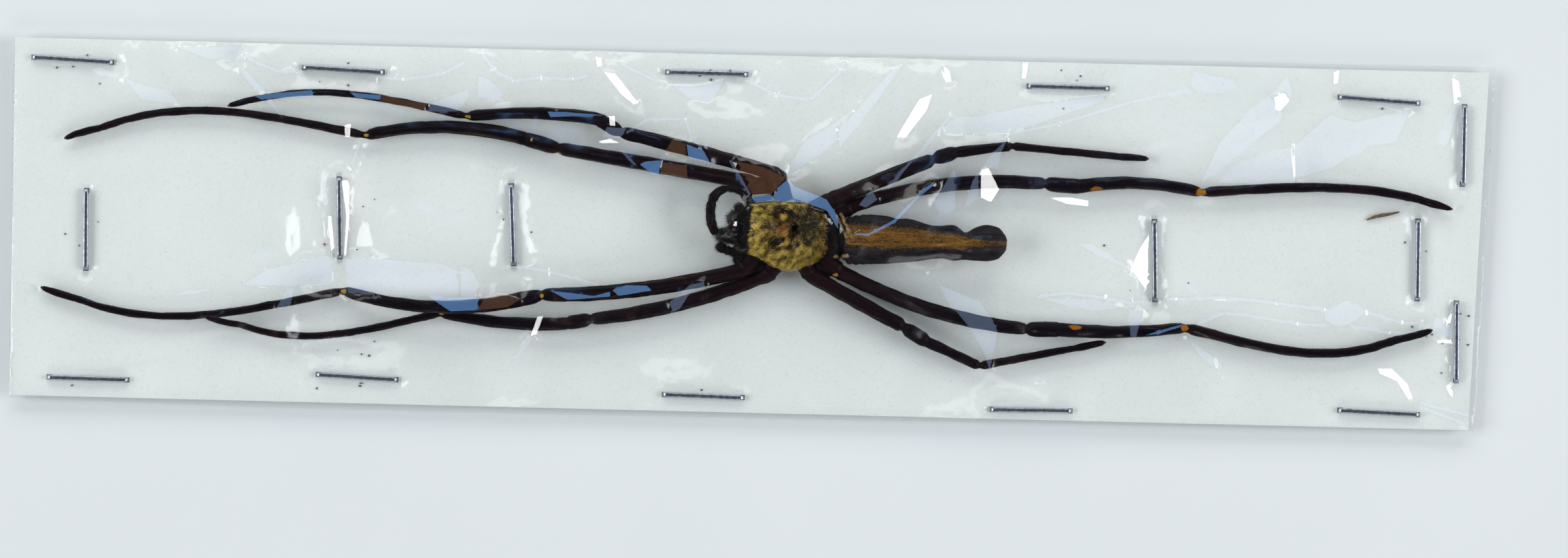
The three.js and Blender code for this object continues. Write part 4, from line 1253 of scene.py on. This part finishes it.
def block(corners, edge):
    """A closed block on four corners. edge holds insets and levels from its top to its underside."""
    inward = np.sign(corners.mean(0) - corners)
    rings = [np.column_stack([corners + inset * inward, np.full(4, level)]) for inset, level in edge]
    return loft(np.array(rings))


def make_card(finish):
    """The board with rounded edges, punched where the staples go through."""
    x, y = CARD["length"] / 2, CARD["width"] / 2
    corners = np.array([(-x + CARD["left slant"], -y), (x - CARD["right slant"], -y), (x, y), (-x, y)])
    edge = [(0.10, 0), (0.03, 0.03), (0, 0.10), (0, 0.5), (0.03, 0.57), (0.10, CARD["thickness"])]
    sides = block(corners, [(inset, CARD_TOP - drop) for inset, drop in edge])
    board = placed("board", fill_mesh("board", *sides))
    square = np.array([(-1, -1), (1, -1), (1, 1), (-1, 1)]) * STAPLE["punch"] / 2
    reach = (STAPLE["crown"] - STAPLE["wire"]) / 2
    punches = []
    for x, y, heading in STAPLES:
        along = heading_axes(heading)[0]
        for side in (-reach, reach):
            punches.append(block(square + (x, y) + side * along, [(0, CARD_TOP + 1), (0, 0.1)]))
    punch = placed("punches", fill_mesh("punches", *join(punches)))
    cut = board.modifiers.new("punched", "BOOLEAN")
    cut.object = punch
    cut.solver = "EXACT"
    mesh = reshaped(board)
    bpy.data.meshes.remove(punch.data)
    mesh.transform(Matrix.Scale(MM, 4))
    mesh.shade_smooth()
    mesh.set_sharp_from_angle(angle=math.radians(40))
    dress(placed("card_board", mesh), finish, ["card"])


# Crumbs are tried this often, and kept where they lie within this half length and half width.
CRUMBS = 70
CRUMB_HALF = (82, 19.6)

# The brown splinter under the film: points from the rest level, and radii.
SPLINTER = [(70.1, 3.3, -0.08), (71.3, 3.75, -0.04), (72.7, 4.0, -0.06), (74.0, 4.35, -0.1)]
SPLINTER_RADII = [0.08, 0.2, 0.15, 0.05]


def make_crumbs(finish):
    """Specks caught under the film, most of them close to the staples, and one brown splinter."""
    draw = np.random.default_rng(71)
    parts = []
    for _ in range(CRUMBS):
        x, y, _ = STAPLES[draw.integers(len(STAPLES))]
        place = np.array([x, y]) + draw.normal(0, 2.6, 2)
        if (np.abs(place) > CRUMB_HALF).any():
            continue
        size = draw.uniform(0.05, 0.13)
        points, faces = dome((*place, CARD_TOP + size * 0.6), [size] * 3)
        points = points + 0.3 * size * ripples(points, size * 2.2, draw.integers(1e6))[:, None]
        points[:, 2] = np.maximum(points[:, 2], CARD_TOP + 0.005)
        parts.append((points, faces))
    rings = limb(SPLINTER, SPLINTER_RADII, 14)[1]
    parts.append(loft(rings + 0.03 * ripples(rings, 0.6, 72)[..., None]))
    points, faces = join(parts)
    add_piece("debris", points, faces, finish, "legs")


# Film

# The film's level where it is held down, its gap to what lies under it, and the length of its edges.
FILM_LEVEL = 1.47
FILM_CLEAR = 0.12
FILM_MESH = 0.36

# The film's slope beside the animal and its facets, the steepest beside what holds it down, and how far
# round a facet it may slope.
FILM_SLOPE = 0.3
FILM_STEEPEST = 0.9
FACET_REACH = 6

# Rounds in which the film is pulled taut, on every third cell of the raster and then on all of them, and
# rounds in which its heights are smoothed between its facets.
TAUT_ROUNDS = (1200, 300)
SMOOTH_ROUNDS = 8

# Heights under the film are kept on a raster over this half length and half width.
RASTER = 0.3
RASTER_HALF = np.array([84.6, 21.6])

# How far the film passes the card's edges, by place along the long ones.
OVERHANG = {"left": 0.1, "right": 0.7, "top": [(-84, 0.05), (0, 0.1), (60, 0.5), (84, 0.65)],
            "bottom": [(-84, 0.3), (-45, 0.75), (0, 0.6), (30, 0.15), (84, 0.1)]}

# Panels over the card that the film's flat facets mirror: place and size in metres, and radiance. The clear
# facet mirrors the place between them, where nothing shines.
PANELS = {
    "pale": [(0.14, 0.31, 1.2), (0.13, 0.13), (0.9, 1.2, 1.9)],
    "blue": [(-0.08, 0.29, 1.2), (0.13, 0.10), (1.0, 2.2, 4.5)],
    "brown": [(-0.22, -0.30, 1.2), (0.14, 0.12), (0.85, 0.42, 0.2)],
    "hot": [(0.08, -0.30, 1.2), (0.045, 0.045), (13, 13, 13)],
}
BETWEEN_PANELS = (0, 0, 1.2)

# Flat facets of the film by the panel each one mirrors, with corners in tenths of a millimetre.
FACETS = {
    "clear": [
        [(3, 33), (30, 35.5), (64, 34.5), (87, 27), (90, 16), (60, 12), (30, 12), (6, 16)],
    ],
    "pale": [
        [(-711, 160), (-684, 151), (-658, 146), (-646, 131), (-689, 135)],
        [(-650, 196), (-578, 199), (-581, 181), (-614, 183)],
        [(-582, 175), (-571, 171), (-544, 143), (-528, 117), (-543, 132), (-562, 150)],
        [(-373, 133), (-360, 140), (-321, 156), (-318, 148), (-331, 130), (-366, 129)],
        [(-450, 73), (-444, 91), (-439, 94), (-443, 80), (-450, 61)],
        [(-569, -72), (-542, -53), (-509, -45), (-470, -38), (-468, -69), (-517, -72)],
        [(-453, -39), (-425, -37), (-389, -40), (-344, -42), (-316, -54), (-301, -73), (-288, -80),
         (-448, -78), (-450, -63)],
        [(-531, -97), (-517, -72), (-512, -79), (-514, -93)],
        [(-648, -84), (-629, -79), (-605, -78), (-628, -84)],
        [(-323, -45), (-311, -47), (-300, -65), (-307, -79), (-322, -80)],
        [(-309, 172), (-295, 167), (-278, 142), (-309, 147)],
        [(-90, 166), (-57, 166), (-30, 175), (-42, 152), (-50, 147), (-69, 151)],
        [(43, 65), (86, 96), (142, 152), (142, 164), (95, 128), (62, 106), (46, 79)],
        [(-85, 106), (-93, 97), (-102, 81), (-96, 81), (-88, 95)],
        [(-162, 117), (-139, 116), (-146, 104), (-156, 104), (-167, 105)],
        [(-149, 93), (-141, 91), (-126, 73), (-133, 76)],
        [(-247, -124), (-236, -121), (-263, -152)],
        [(-87, -80), (-64, -59), (-48, -55), (-46, -61), (-63, -69), (-74, -87), (-82, -91)],
        [(100, 119), (159, 190), (171, 196), (145, 156), (101, 98)],
        [(226, 139), (256, 139), (310, 152), (400, 168), (400, 160), (293, 121), (218, 118)],
        [(500, 197), (520, 193), (547, 188), (545, 175), (521, 171), (499, 177)],
        [(293, 118), (285, 100), (281, 78), (270, 84), (259, 78), (260, 46), (243, 34), (252, 66),
         (270, 93)],
        [(209, 40), (231, 79), (234, 34), (217, 25)],
        [(371, -1), (392, -3), (429, -26), (433, -30), (405, -19)],
        [(432, -70), (452, -67), (441, -110), (435, -105)],
        [(208, -35), (220, -53), (264, -70), (279, -90), (285, -104), (277, -149), (269, -127), (250, -97),
         (225, -68)],
        [(124, 35), (138, 54), (146, 42), (133, 32)],
        [(655, -71), (680, -58), (692, -62), (703, -72), (683, -86), (669, -89), (655, -82)],
        [(499, -104), (514, -115), (531, -128), (531, -138), (516, -128)],
        [(534, -128), (540, -136), (537, -151), (535, -139)],
        [(780, -76), (785, -75), (791, -85), (803, -87), (802, -109), (786, -108), (775, -99)],
        [(511, 70), (531, 116), (552, 140), (594, 178), (607, 195), (613, 175), (599, 140), (565, 114),
         (524, 78)],
        [(529, 70), (557, 95), (612, 114), (617, 72)],
        [(616, 114), (656, 151), (684, 143), (748, 160), (731, 121), (698, 116), (660, 91), (618, 77)],
        [(796, 165), (805, 169), (791, 122), (783, 116), (781, 135)],
        [(326, -61), (365, -58), (446, -71), (391, -78), (350, -70)],
    ],
    "blue": [
        [(-562, 142), (-532, 147), (-496, 151), (-494, 143), (-526, 141), (-553, 138)],
        [(-454, 149), (-417, 147), (-419, 141), (-447, 143)],
        [(-358, -80), (-294, -79), (-300, -94), (-333, -96)],
        [(2, 41), (24, 45), (45, 64), (51, 55), (88, 41), (101, 23), (102, 7), (88, 28), (64, 36), (30, 37),
         (9, 35)],
        [(-72, 100), (-52, 93), (-43, 78), (-69, 84)],
        [(-124, 75), (-118, 79), (-98, 81), (-102, 64), (-109, 64)],
        [(-230, 133), (-210, 133), (-164, 130), (-226, 126)],
        [(-221, -70), (-211, -70), (-172, -74), (-153, -69), (-153, -75), (-201, -80)],
        [(-152, -67), (-136, -61), (-112, -61), (-106, -67), (-144, -74)],
        [(452, -104), (467, -98), (494, -90), (491, -94), (467, -102)],
        [(117, 3), (136, 4), (163, 19), (192, 50), (207, 63), (209, 60), (192, 45), (166, 16), (136, 0)],
    ],
    "brown": [
        [(-417, 147), (-364, 137), (-375, 130), (-419, 140)],
        [(-296, -80), (-274, -75), (-254, -81), (-269, -90), (-302, -94)],
        [(-88, 104), (-72, 100), (-71, 86), (-96, 90)],
        [(-98, 79), (-70, 75), (-69, 61), (-101, 65)],
        [(-21, 83), (14, 76), (42, 64), (26, 45), (5, 44), (-9, 62)],
    ],
    "hot": [
        [(-17, 8.5), (-12, 7.5), (-11.5, 13.5), (-14.5, 14)],
        [(-459, 112), (-451, 114), (-452, 98), (-458, 98)],
        [(-460, 49), (-452, 50), (-450, 9), (-453, -36), (-456, -36), (-454, 9)],
        [(-474, 9), (-470, 9), (-465, -38), (-469, -38), (-473, -9)],
        [(-167, 179), (-154, 178), (-127, 145), (-133, 144), (-147, 154)],
        [(-160, 129), (-153, 130), (-152, 118), (-159, 118)],
        [(-172, 100), (-158, 104), (-147, 99), (-167, 98)],
        [(-235, -99), (-228, -98), (-235, -119), (-243, -122)],
        [(-177, 196), (-170, 195), (-169, 186), (-175, 185)],
        [(217, 196), (224, 191), (227, 179), (220, 177)],
        [(190, 157), (205, 163), (199, 144), (176, 113), (165, 113)],
        [(307, 202), (314, 204), (311, 184), (306, 184)],
        [(261, 78), (270, 81), (283, 57), (274, 42), (262, 47)],
        [(340, 49), (364, 50), (384, 47), (384, 40), (361, 42)],
        [(457, 16), (459, -61), (434, -29), (444, -5)],
        [(717, -135), (733, -135), (751, -151), (758, -168), (753, -170), (739, -149), (719, -141)],
        [(795, -76), (803, -60), (804, -76), (793, -85)],
        [(783, -101), (803, -100), (804, -105), (783, -105)],
        [(799, -128), (804, -130), (803, -142), (799, -140)],
        [(795, -153), (802, -149), (804, -166), (799, -162)],
        [(592, 169), (604, 175), (610, 165), (599, 153)],
        [(793, 197), (801, 193), (806, 171), (797, 166)],
        [(659, 199), (666, 202), (665, 187), (660, 185)],
    ],
}

# Thin folds of the film, in tenths of a millimetre too.
CREASES = [
    [(-578, 193), (-563, 181), (-532, 170), (-514, 172)],
    [(-424, 167), (-394, 165), (-349, 173), (-325, 187)],
    [(-306, 197), (-292, 179), (-271, 167), (-238, 171), (-202, 170), (-184, 175)],
    [(-151, 191), (-123, 177), (-96, 167)],
    [(-6, 174), (28, 158), (67, 153), (102, 188), (105, 200)],
    [(-140, 110), (-116, 127), (-74, 128), (-65, 106), (-54, 96)],
    [(-263, -43), (-223, -48), (-166, -62)],
    [(-22, 83), (2, 43)],
    [(293, 120), (350, 133), (431, 160), (499, 175)],
    [(328, -64), (361, -58), (406, -63), (436, -68), (460, -63), (511, -61), (577, -62)],
    [(487, -62), (544, -59), (600, -64), (655, -70)],
    [(703, -72), (743, -83), (767, -82), (760, -92), (729, -95), (683, -87)],
    [(510, -90), (541, -77), (572, -79), (624, -87), (658, -88)],
    [(765, -173), (822, -186)],
    [(765, -177), (819, -196)],
    [(156, 54), (226, 139)],
]
CREASE_WIDTH = 0.3

# How far round a staple's crown and in from the card's edge the film is held down.
CROWN_HOLD = 0.45
EDGE_HOLD = 0.2

# A thin border round each facet and crown that lies level with it.
BORDER = 0.02


def film_place(u, v):
    """The place of a point of the film, u from its left edge -1 to its right edge 1, v from 0 up to 1."""
    slant = np.where(u < 0, CARD["left slant"], CARD["right slant"]) * (1 - v)
    x = u * (CARD["length"] / 2 + np.where(u < 0, OVERHANG["left"], OVERHANG["right"]) - slant)
    low = -CARD["width"] / 2 - profile(OVERHANG["bottom"], x)
    high = CARD["width"] / 2 + profile(OVERHANG["top"], x)
    return np.stack([x, low + (high - low) * v], -1)


def film_outline():
    """The film's edge as a closed run of places."""
    along, up = np.linspace(-1, 1, 400), np.linspace(0, 1, 100)
    sides = [(along, 0 * along), (1 + 0 * up, up), (-along, 1 + 0 * along), (-1 + 0 * up, 1 - up)]
    return np.concatenate([film_place(u[:-1], v[:-1]) for u, v in sides])


def spread(values, reach, pick):
    """Each value replaced by the pick of those within reach cells of it."""
    for axis in (0, 1):
        values = pick.reduce([np.roll(values, step, axis) for step in range(-reach, reach + 1)])
    return values


def highest_under(shape, skip):
    """The level that the pieces under each point of the raster need, without the tips of hairs."""
    tops = np.full(shape, FILM_LEVEL)
    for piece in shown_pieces():
        if piece.name in skip or piece.type != "MESH" or piece.name.endswith("_hair"):
            continue
        points = np.empty(len(piece.data.vertices) * 3)
        piece.data.vertices.foreach_get("co", points)
        points = points.reshape(-1, 3) / MM
        cell = np.rint((points[:, :2] + RASTER_HALF) / RASTER).astype(int)
        within = ((cell >= 0) & (cell < shape)).all(1)
        np.maximum.at(tops, tuple(cell[within].T), points[within, 2] + FILM_CLEAR)
    tops = spread(spread(tops, 2, np.maximum), 1, np.minimum)
    return blur(blur(tops, 0.7).T, 0.7).T


def eased(heights, slope):
    """heights with slopes added all round them."""
    shifts = [(i, j) for i in (-1, 0, 1) for j in (-1, 0, 1) if i or j]
    for _ in range(60):
        for shift in shifts:
            fall = slope * RASTER * math.hypot(*shift)
            heights = np.maximum(heights, np.roll(heights, shift, (0, 1)) - fall)
    return heights


def crown_outlines():
    """The corners of the patch that each staple's crown holds down."""
    outlines = []
    for x, y, heading in STAPLES:
        along, aside = heading_axes(heading)
        along, aside = along * (STAPLE["crown"] / 2 + CROWN_HOLD), aside * CROWN_HOLD
        corners = [(x, y) + a * along + b * aside for a, b in ((-1, -1), (1, -1), (1, 1), (-1, 1))]
        outlines.append(np.array(corners))
    return outlines


def settle(heights, floor, fixed, rounds):
    """Heights pulled taut over the floor. fixed holds them where it is a number."""
    for _ in range(rounds):
        padded = np.pad(heights, 1, mode="edge")
        mean = (padded[2:, 1:-1] + padded[:-2, 1:-1] + padded[1:-1, 2:] + padded[1:-1, :-2]) / 4
        heights = np.where(np.isnan(fixed), np.maximum(mean, floor), fixed)
    return heights


def read_raster(values, places):
    cell = np.clip((places + RASTER_HALF) / RASTER, 0, np.array(values.shape) - 1.001)
    (i, j), (s, t) = cell.astype(int).T, (cell % 1).T
    near = values[i, j] * (1 - t) + values[i, j + 1] * t
    return near * (1 - s) + (values[i + 1, j] * (1 - t) + values[i + 1, j + 1] * t) * s


def inside(places, corners):
    """Which places lie inside a polygon."""
    x, y = places[..., 0], places[..., 1]
    within = np.zeros(x.shape, bool)
    for (ax, ay), (bx, by) in zip(corners, [*corners[1:], corners[0]]):
        if ay != by:
            within ^= ((y < ay) != (y < by)) & (x < ax + (y - ay) * (bx - ax) / (by - ay))
    return within


def inset(corners, depth):
    """A polygon's corners moved inwards by depth."""
    corners = np.array(corners, float)
    after = left_of(unit(np.roll(corners, -1, 0) - corners))
    x, y = corners.T
    after *= np.sign((x * np.roll(y, -1) - np.roll(x, -1) * y).sum())
    before = np.roll(after, 1, 0)
    return corners + depth * (before + after) / np.maximum(0.4, 1 + (before * after).sum(-1, keepdims=True))


def divided(corners, step):
    """The points of a closed outline, at most a step apart."""
    points = []
    for start, end in zip(corners, np.roll(corners, -1, 0)):
        count = max(1, round(math.dist(start, end) / step))
        points.append(start + (end - start) * (np.arange(count) / count)[:, None])
    return np.concatenate(points)


def slope_to(place, panel):
    """The slope of a facet at place that mirrors the panel's middle to the camera."""
    x, y, high = (value / MM for value in panel)
    to_camera = (np.array([CAMERA["x"], CAMERA["y"]]) - place) / CAMERA["distance"]
    return -0.5 * (to_camera + (np.array([x, y]) - place) / high)


def film_facets():
    """The kind and outline of each flat facet, with the folds as narrow ones."""
    facets = []
    for kind, outlines in FACETS.items():
        facets += [(kind, inset(np.array(corners) / 10, 0.04)) for corners in outlines]
    for line in CREASES:
        line = np.array(line) / 10
        for start, end in zip(line, line[1:]):
            along = unit(end - start)
            aside = left_of(along) * CREASE_WIDTH / 2
            start, end = start + 0.08 * along, end - 0.08 * along
            facets.append(("pale", np.array([start - aside, end - aside, end + aside, start + aside])))
    return facets


def film_mesh(facets):
    """Points and triangles of the flat film, with the facets' and crowns' outlines among their edges."""
    outline = film_outline()
    loops = [outline] + [divided(corners, FILM_MESH) for _, corners in facets]
    loops += [divided(corners, FILM_MESH) for corners in crown_outlines()]
    draw = np.random.default_rng(83)
    x, y = np.meshgrid(*(np.arange(-half, half, FILM_MESH) for half in RASTER_HALF), indexing="ij")
    free = np.stack([x.ravel(), y.ravel()], -1) + draw.uniform(-0.08, 0.08, (x.size, 2))
    free = free[inside(free, inset(outline, EDGE_HOLD))]

    def tenth(places):
        """The cell of a tenth of a millimetre that each place lies in."""
        return tuple(((places + RASTER_HALF) * 10).astype(int).T)

    crowded = np.zeros((RASTER_HALF * 20).astype(int) + 1, bool)
    for loop in loops:
        crowded[tenth(loop)] = True
    free = free[~spread(crowded, 1, np.maximum)[tenth(free)]]
    edges, first = [], 0
    for loop in loops:
        edges += [(first + k, first + (k + 1) % len(loop)) for k in range(len(loop))]
        first += len(loop)
    places = [Vector(place) for place in np.concatenate([*loops, free])]
    made = delaunay_2d_cdt(places, edges, [], 1, 1e-4, False)
    return np.array([tuple(place) for place in made[0]]), np.array(made[2])


def lay_facet(surface, grid, floor, corners, panel):
    """Lays a flat facet into the surface, with gentle slopes to it. Gives its level, middle and slope."""
    rim = divided(corners, RASTER)
    middle = rim.mean(0)
    slope = slope_to(middle, panel)
    low = np.maximum(((rim.min(0) - FACET_REACH + RASTER_HALF) / RASTER).astype(int), 0)
    high = ((rim.max(0) + FACET_REACH + RASTER_HALF) / RASTER).astype(int)
    window = slice(low[0], high[0]), slice(low[1], high[1])
    places = grid[window]
    within = inside(places, corners)
    level = (read_raster(surface, rim) - (rim - middle) @ slope).mean()
    short = (floor[window] - level - (places - middle) @ slope)[within].max(initial=0)
    level += max(0, short, (read_raster(floor, rim) - level - (rim - middle) @ slope).max())
    gap = np.linalg.norm(places[..., None, :] - rim, axis=-1)
    near = (level + (rim - middle) @ slope)[gap.argmin(-1)]
    gap = FILM_SLOPE * gap.min(-1)
    sloped = np.maximum(np.clip(surface[window], near - gap, near + gap), floor[window])
    surface[window] = np.where(within, level + (places - middle) @ slope, sloped)
    return level, middle, slope


def taut_surface(floor, held):
    """The film on the raster, pulled taut over the floor, and the highest that it may be anywhere."""
    ceiling = -eased(np.where(held, -FILM_LEVEL, -99), FILM_STEEPEST)
    slopes = np.maximum(floor, np.minimum(eased(floor, FILM_SLOPE), ceiling))
    fixed = np.where(held, FILM_LEVEL, np.nan)
    start = np.full(floor[::3, ::3].shape, FILM_LEVEL)
    start = settle(start, spread(slopes, 1, np.maximum)[::3, ::3], fixed[::3, ::3], TAUT_ROUNDS[0])
    surface = settle(np.repeat(np.repeat(start, 3, 0), 3, 1)[:-2, :-2], slopes, fixed, TAUT_ROUNDS[1])
    return surface, np.maximum(ceiling, floor)


def held_down(places, crowns, margin):
    """Which places lie in the margin along the card's edges or under a staple's crown."""
    edge = np.abs(places) > np.array([CARD["length"], CARD["width"]]) / 2 - margin
    return edge.any(-1) | np.any([inside(places, corners) for corners in crowns], 0)


def film_heights(places, triangles, facets, floor):
    """The heights of the taut film at its places, with its flat facets, and which triangles lie in them."""
    grid = np.stack(np.meshgrid(*(np.arange(count) for count in floor.shape), indexing="ij"), -1) * RASTER
    grid -= RASTER_HALF
    crowns = crown_outlines()
    held = held_down(grid, crowns, EDGE_HOLD)
    surface, ceiling = taut_surface(floor, held)
    mirrored = {kind: panel[0] for kind, panel in PANELS.items()} | {"clear": BETWEEN_PANELS}
    planes = [lay_facet(surface, grid, floor, corners, mirrored[kind]) for kind, corners in facets]
    surface = np.where(held, FILM_LEVEL, np.minimum(surface, ceiling))

    heights, under = read_raster(surface, places), read_raster(floor, places)
    fixed = np.full(len(places), np.nan)
    flat = np.zeros(len(triangles), bool)
    for (kind, corners), (level, middle, slope) in zip(facets, planes):
        within = inside(places, inset(corners, -BORDER))
        fixed[within] = level + (places[within] - middle) @ slope
        flat |= inside(places[triangles].mean(1), corners) & (kind != "clear")
    held = held_down(places, [inset(corners, -BORDER) for corners in crowns], EDGE_HOLD / 2)
    fixed[held] = FILM_LEVEL
    free = np.isnan(fixed)
    heights = np.where(free, heights, fixed)
    start, end = triangles.ravel(), np.roll(triangles, -1, 1).ravel()
    counts = np.bincount(start, minlength=len(places))
    for _ in range(SMOOTH_ROUNDS):
        mean = np.bincount(start, heights[end], len(places)) / counts
        heights = np.where(free, np.maximum(mean, under), fixed)
    level = np.column_stack([places, np.zeros(len(places))])
    heights += free * 0.01 * ripples(level, 4, 82, (1.3, 1, 1))
    return heights, flat


def make_film(finish, skip):
    """The film, pulled taut over all pieces but those to skip."""
    facets = film_facets()
    places, triangles = film_mesh(facets)
    shape = tuple(np.rint(2 * RASTER_HALF / RASTER).astype(int) + 1)
    heights, flat = film_heights(places, triangles, facets, highest_under(shape, skip))
    points = np.column_stack([places, heights])
    crisp = np.zeros(len(points))
    crisp[triangles[flat]] = 1
    film = add_piece("film_sheet", points, [triangles], finish, "film", ["film_cover"], {"crisp": crisp})
    film.data.polygons.foreach_set("use_smooth", ~flat)


# The studio

CAMERA = {"x": 4.23, "y": -5.01, "distance": 600.0, "roll": 1.39, "view width": 177.8, "sensor": 36.0}
TABLE_HALF = 1500.0

# Softboxes round the card: place and size in metres, power and colour.
SOFTBOXES = {
    "north": [(-0.1, 0.8, 0.45), (1.3, 0.4), 5.5, (1.0, 0.99, 0.97)],
    "south": [(0.1, -0.8, 0.42), (1.0, 0.35), 2.5, (0.97, 0.98, 1.0)],
    "west": [(-0.85, 0, 0.5), (0.7, 0.4), 6.5, (0.95, 0.98, 1.0)],
    "east": [(0.85, 0, 0.5), (0.7, 0.4), 6.6, (0.96, 0.98, 1.0)],
}


def make_camera():
    data = bpy.data.cameras.new("camera")
    data.sensor_width = CAMERA["sensor"]
    data.lens = CAMERA["sensor"] * CAMERA["distance"] / CAMERA["view width"]
    camera = placed("camera", data)
    camera.location = (CAMERA["x"] * MM, CAMERA["y"] * MM, (CARD_TOP + CAMERA["distance"]) * MM)
    camera.rotation_euler = (0, 0, math.radians(CAMERA["roll"]))
    bpy.context.scene.camera = camera


def make_light(name, place, size, power, colour):
    """A softbox at place in metres, turned to the card."""
    data = bpy.data.lights.new(name, "AREA")
    data.shape = "RECTANGLE"
    data.size, data.size_y = size
    data.energy = power
    data.color = colour
    light = placed(name, data)
    light.location = place
    light.rotation_euler = (-light.location).to_track_quat("-Z", "Y").to_euler()


def make_floor(finish):
    """The table, level with the ends of the staples."""
    corners = np.array([[-1, -1, 0], [1, -1, 0], [1, 1, 0], [-1, 1, 0]]) * TABLE_HALF
    floor = placed("table", fill_mesh("table", corners * MM, [np.array([[0, 1, 2, 3]])]))
    floor.data.materials.append(finish)
    floor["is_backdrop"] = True


def make_studio():
    make_camera()
    make_floor(table_finish())
    for name, box in SOFTBOXES.items():
        make_light(f"softbox_{name}", *box)
    for name, (place, size, radiance) in PANELS.items():
        peak = max(radiance)
        power = math.pi * size[0] * size[1] * peak
        make_light(f"panel_{name}", place, size, power, [value / peak for value in radiance])
    world = bpy.data.worlds.new("room")
    world.use_nodes = True
    sky = world.node_tree.nodes["Background"]
    sky.inputs["Color"].default_value = (0.80, 0.88, 1.0, 1)
    sky.inputs["Strength"].default_value = 0.02
    scene = bpy.context.scene
    scene.world = world
    scene.view_settings.view_transform = "Standard"


# Assembly

make_studio()

chitin = chitin_finish()
gold_hair = gold_hair_finish()
dark_hair = dark_hair_finish()
jaw_gloss = gloss_finish("jaw_cuticle", (0.004, 0.003, 0.004), (0.012, 0.007, 0.009), 0.3)
fang_gloss = gloss_finish("fang_cuticle", (0.006, 0.002, 0.002), (0.05, 0.010, 0.005), 0.18)
eye_gloss = gloss_finish("eye_lens", (0.004, 0.003, 0.003), (0.02, 0.012, 0.006), 0.06)
splinter = gloss_finish("brown_splinter", (0.10, 0.055, 0.025), (0.20, 0.12, 0.06), 0.6)

make_body_hair(*make_body(skin_finish()), gold_hair, dark_hair)
make_eyes(eye_gloss)
make_jaws(jaw_gloss, fang_gloss, dark_hair)
make_palps(chitin, dark_hair)
make_spinnerets(chitin)

claws = []
for leg in LEGS:
    claws += make_leg(leg, chitin, dark_hair)
add_piece("leg_claws", *join(claws), fang_gloss, "legs")

make_crumbs(splinter)
make_card(card_finish())
wire = steel_finish()
bends = np.random.default_rng(91)
staples = [f"staple_{number:02d}" for number in range(1, len(STAPLES) + 1)]
for staple, place in zip(staples, STAPLES):
    make_staple(staple, place, wire, bends)
nodes = [node.name for node in frame["nodes"].values()]
make_film(film_finish(), {"card_board", *(f"{staple}_wire" for staple in staples), *nodes})
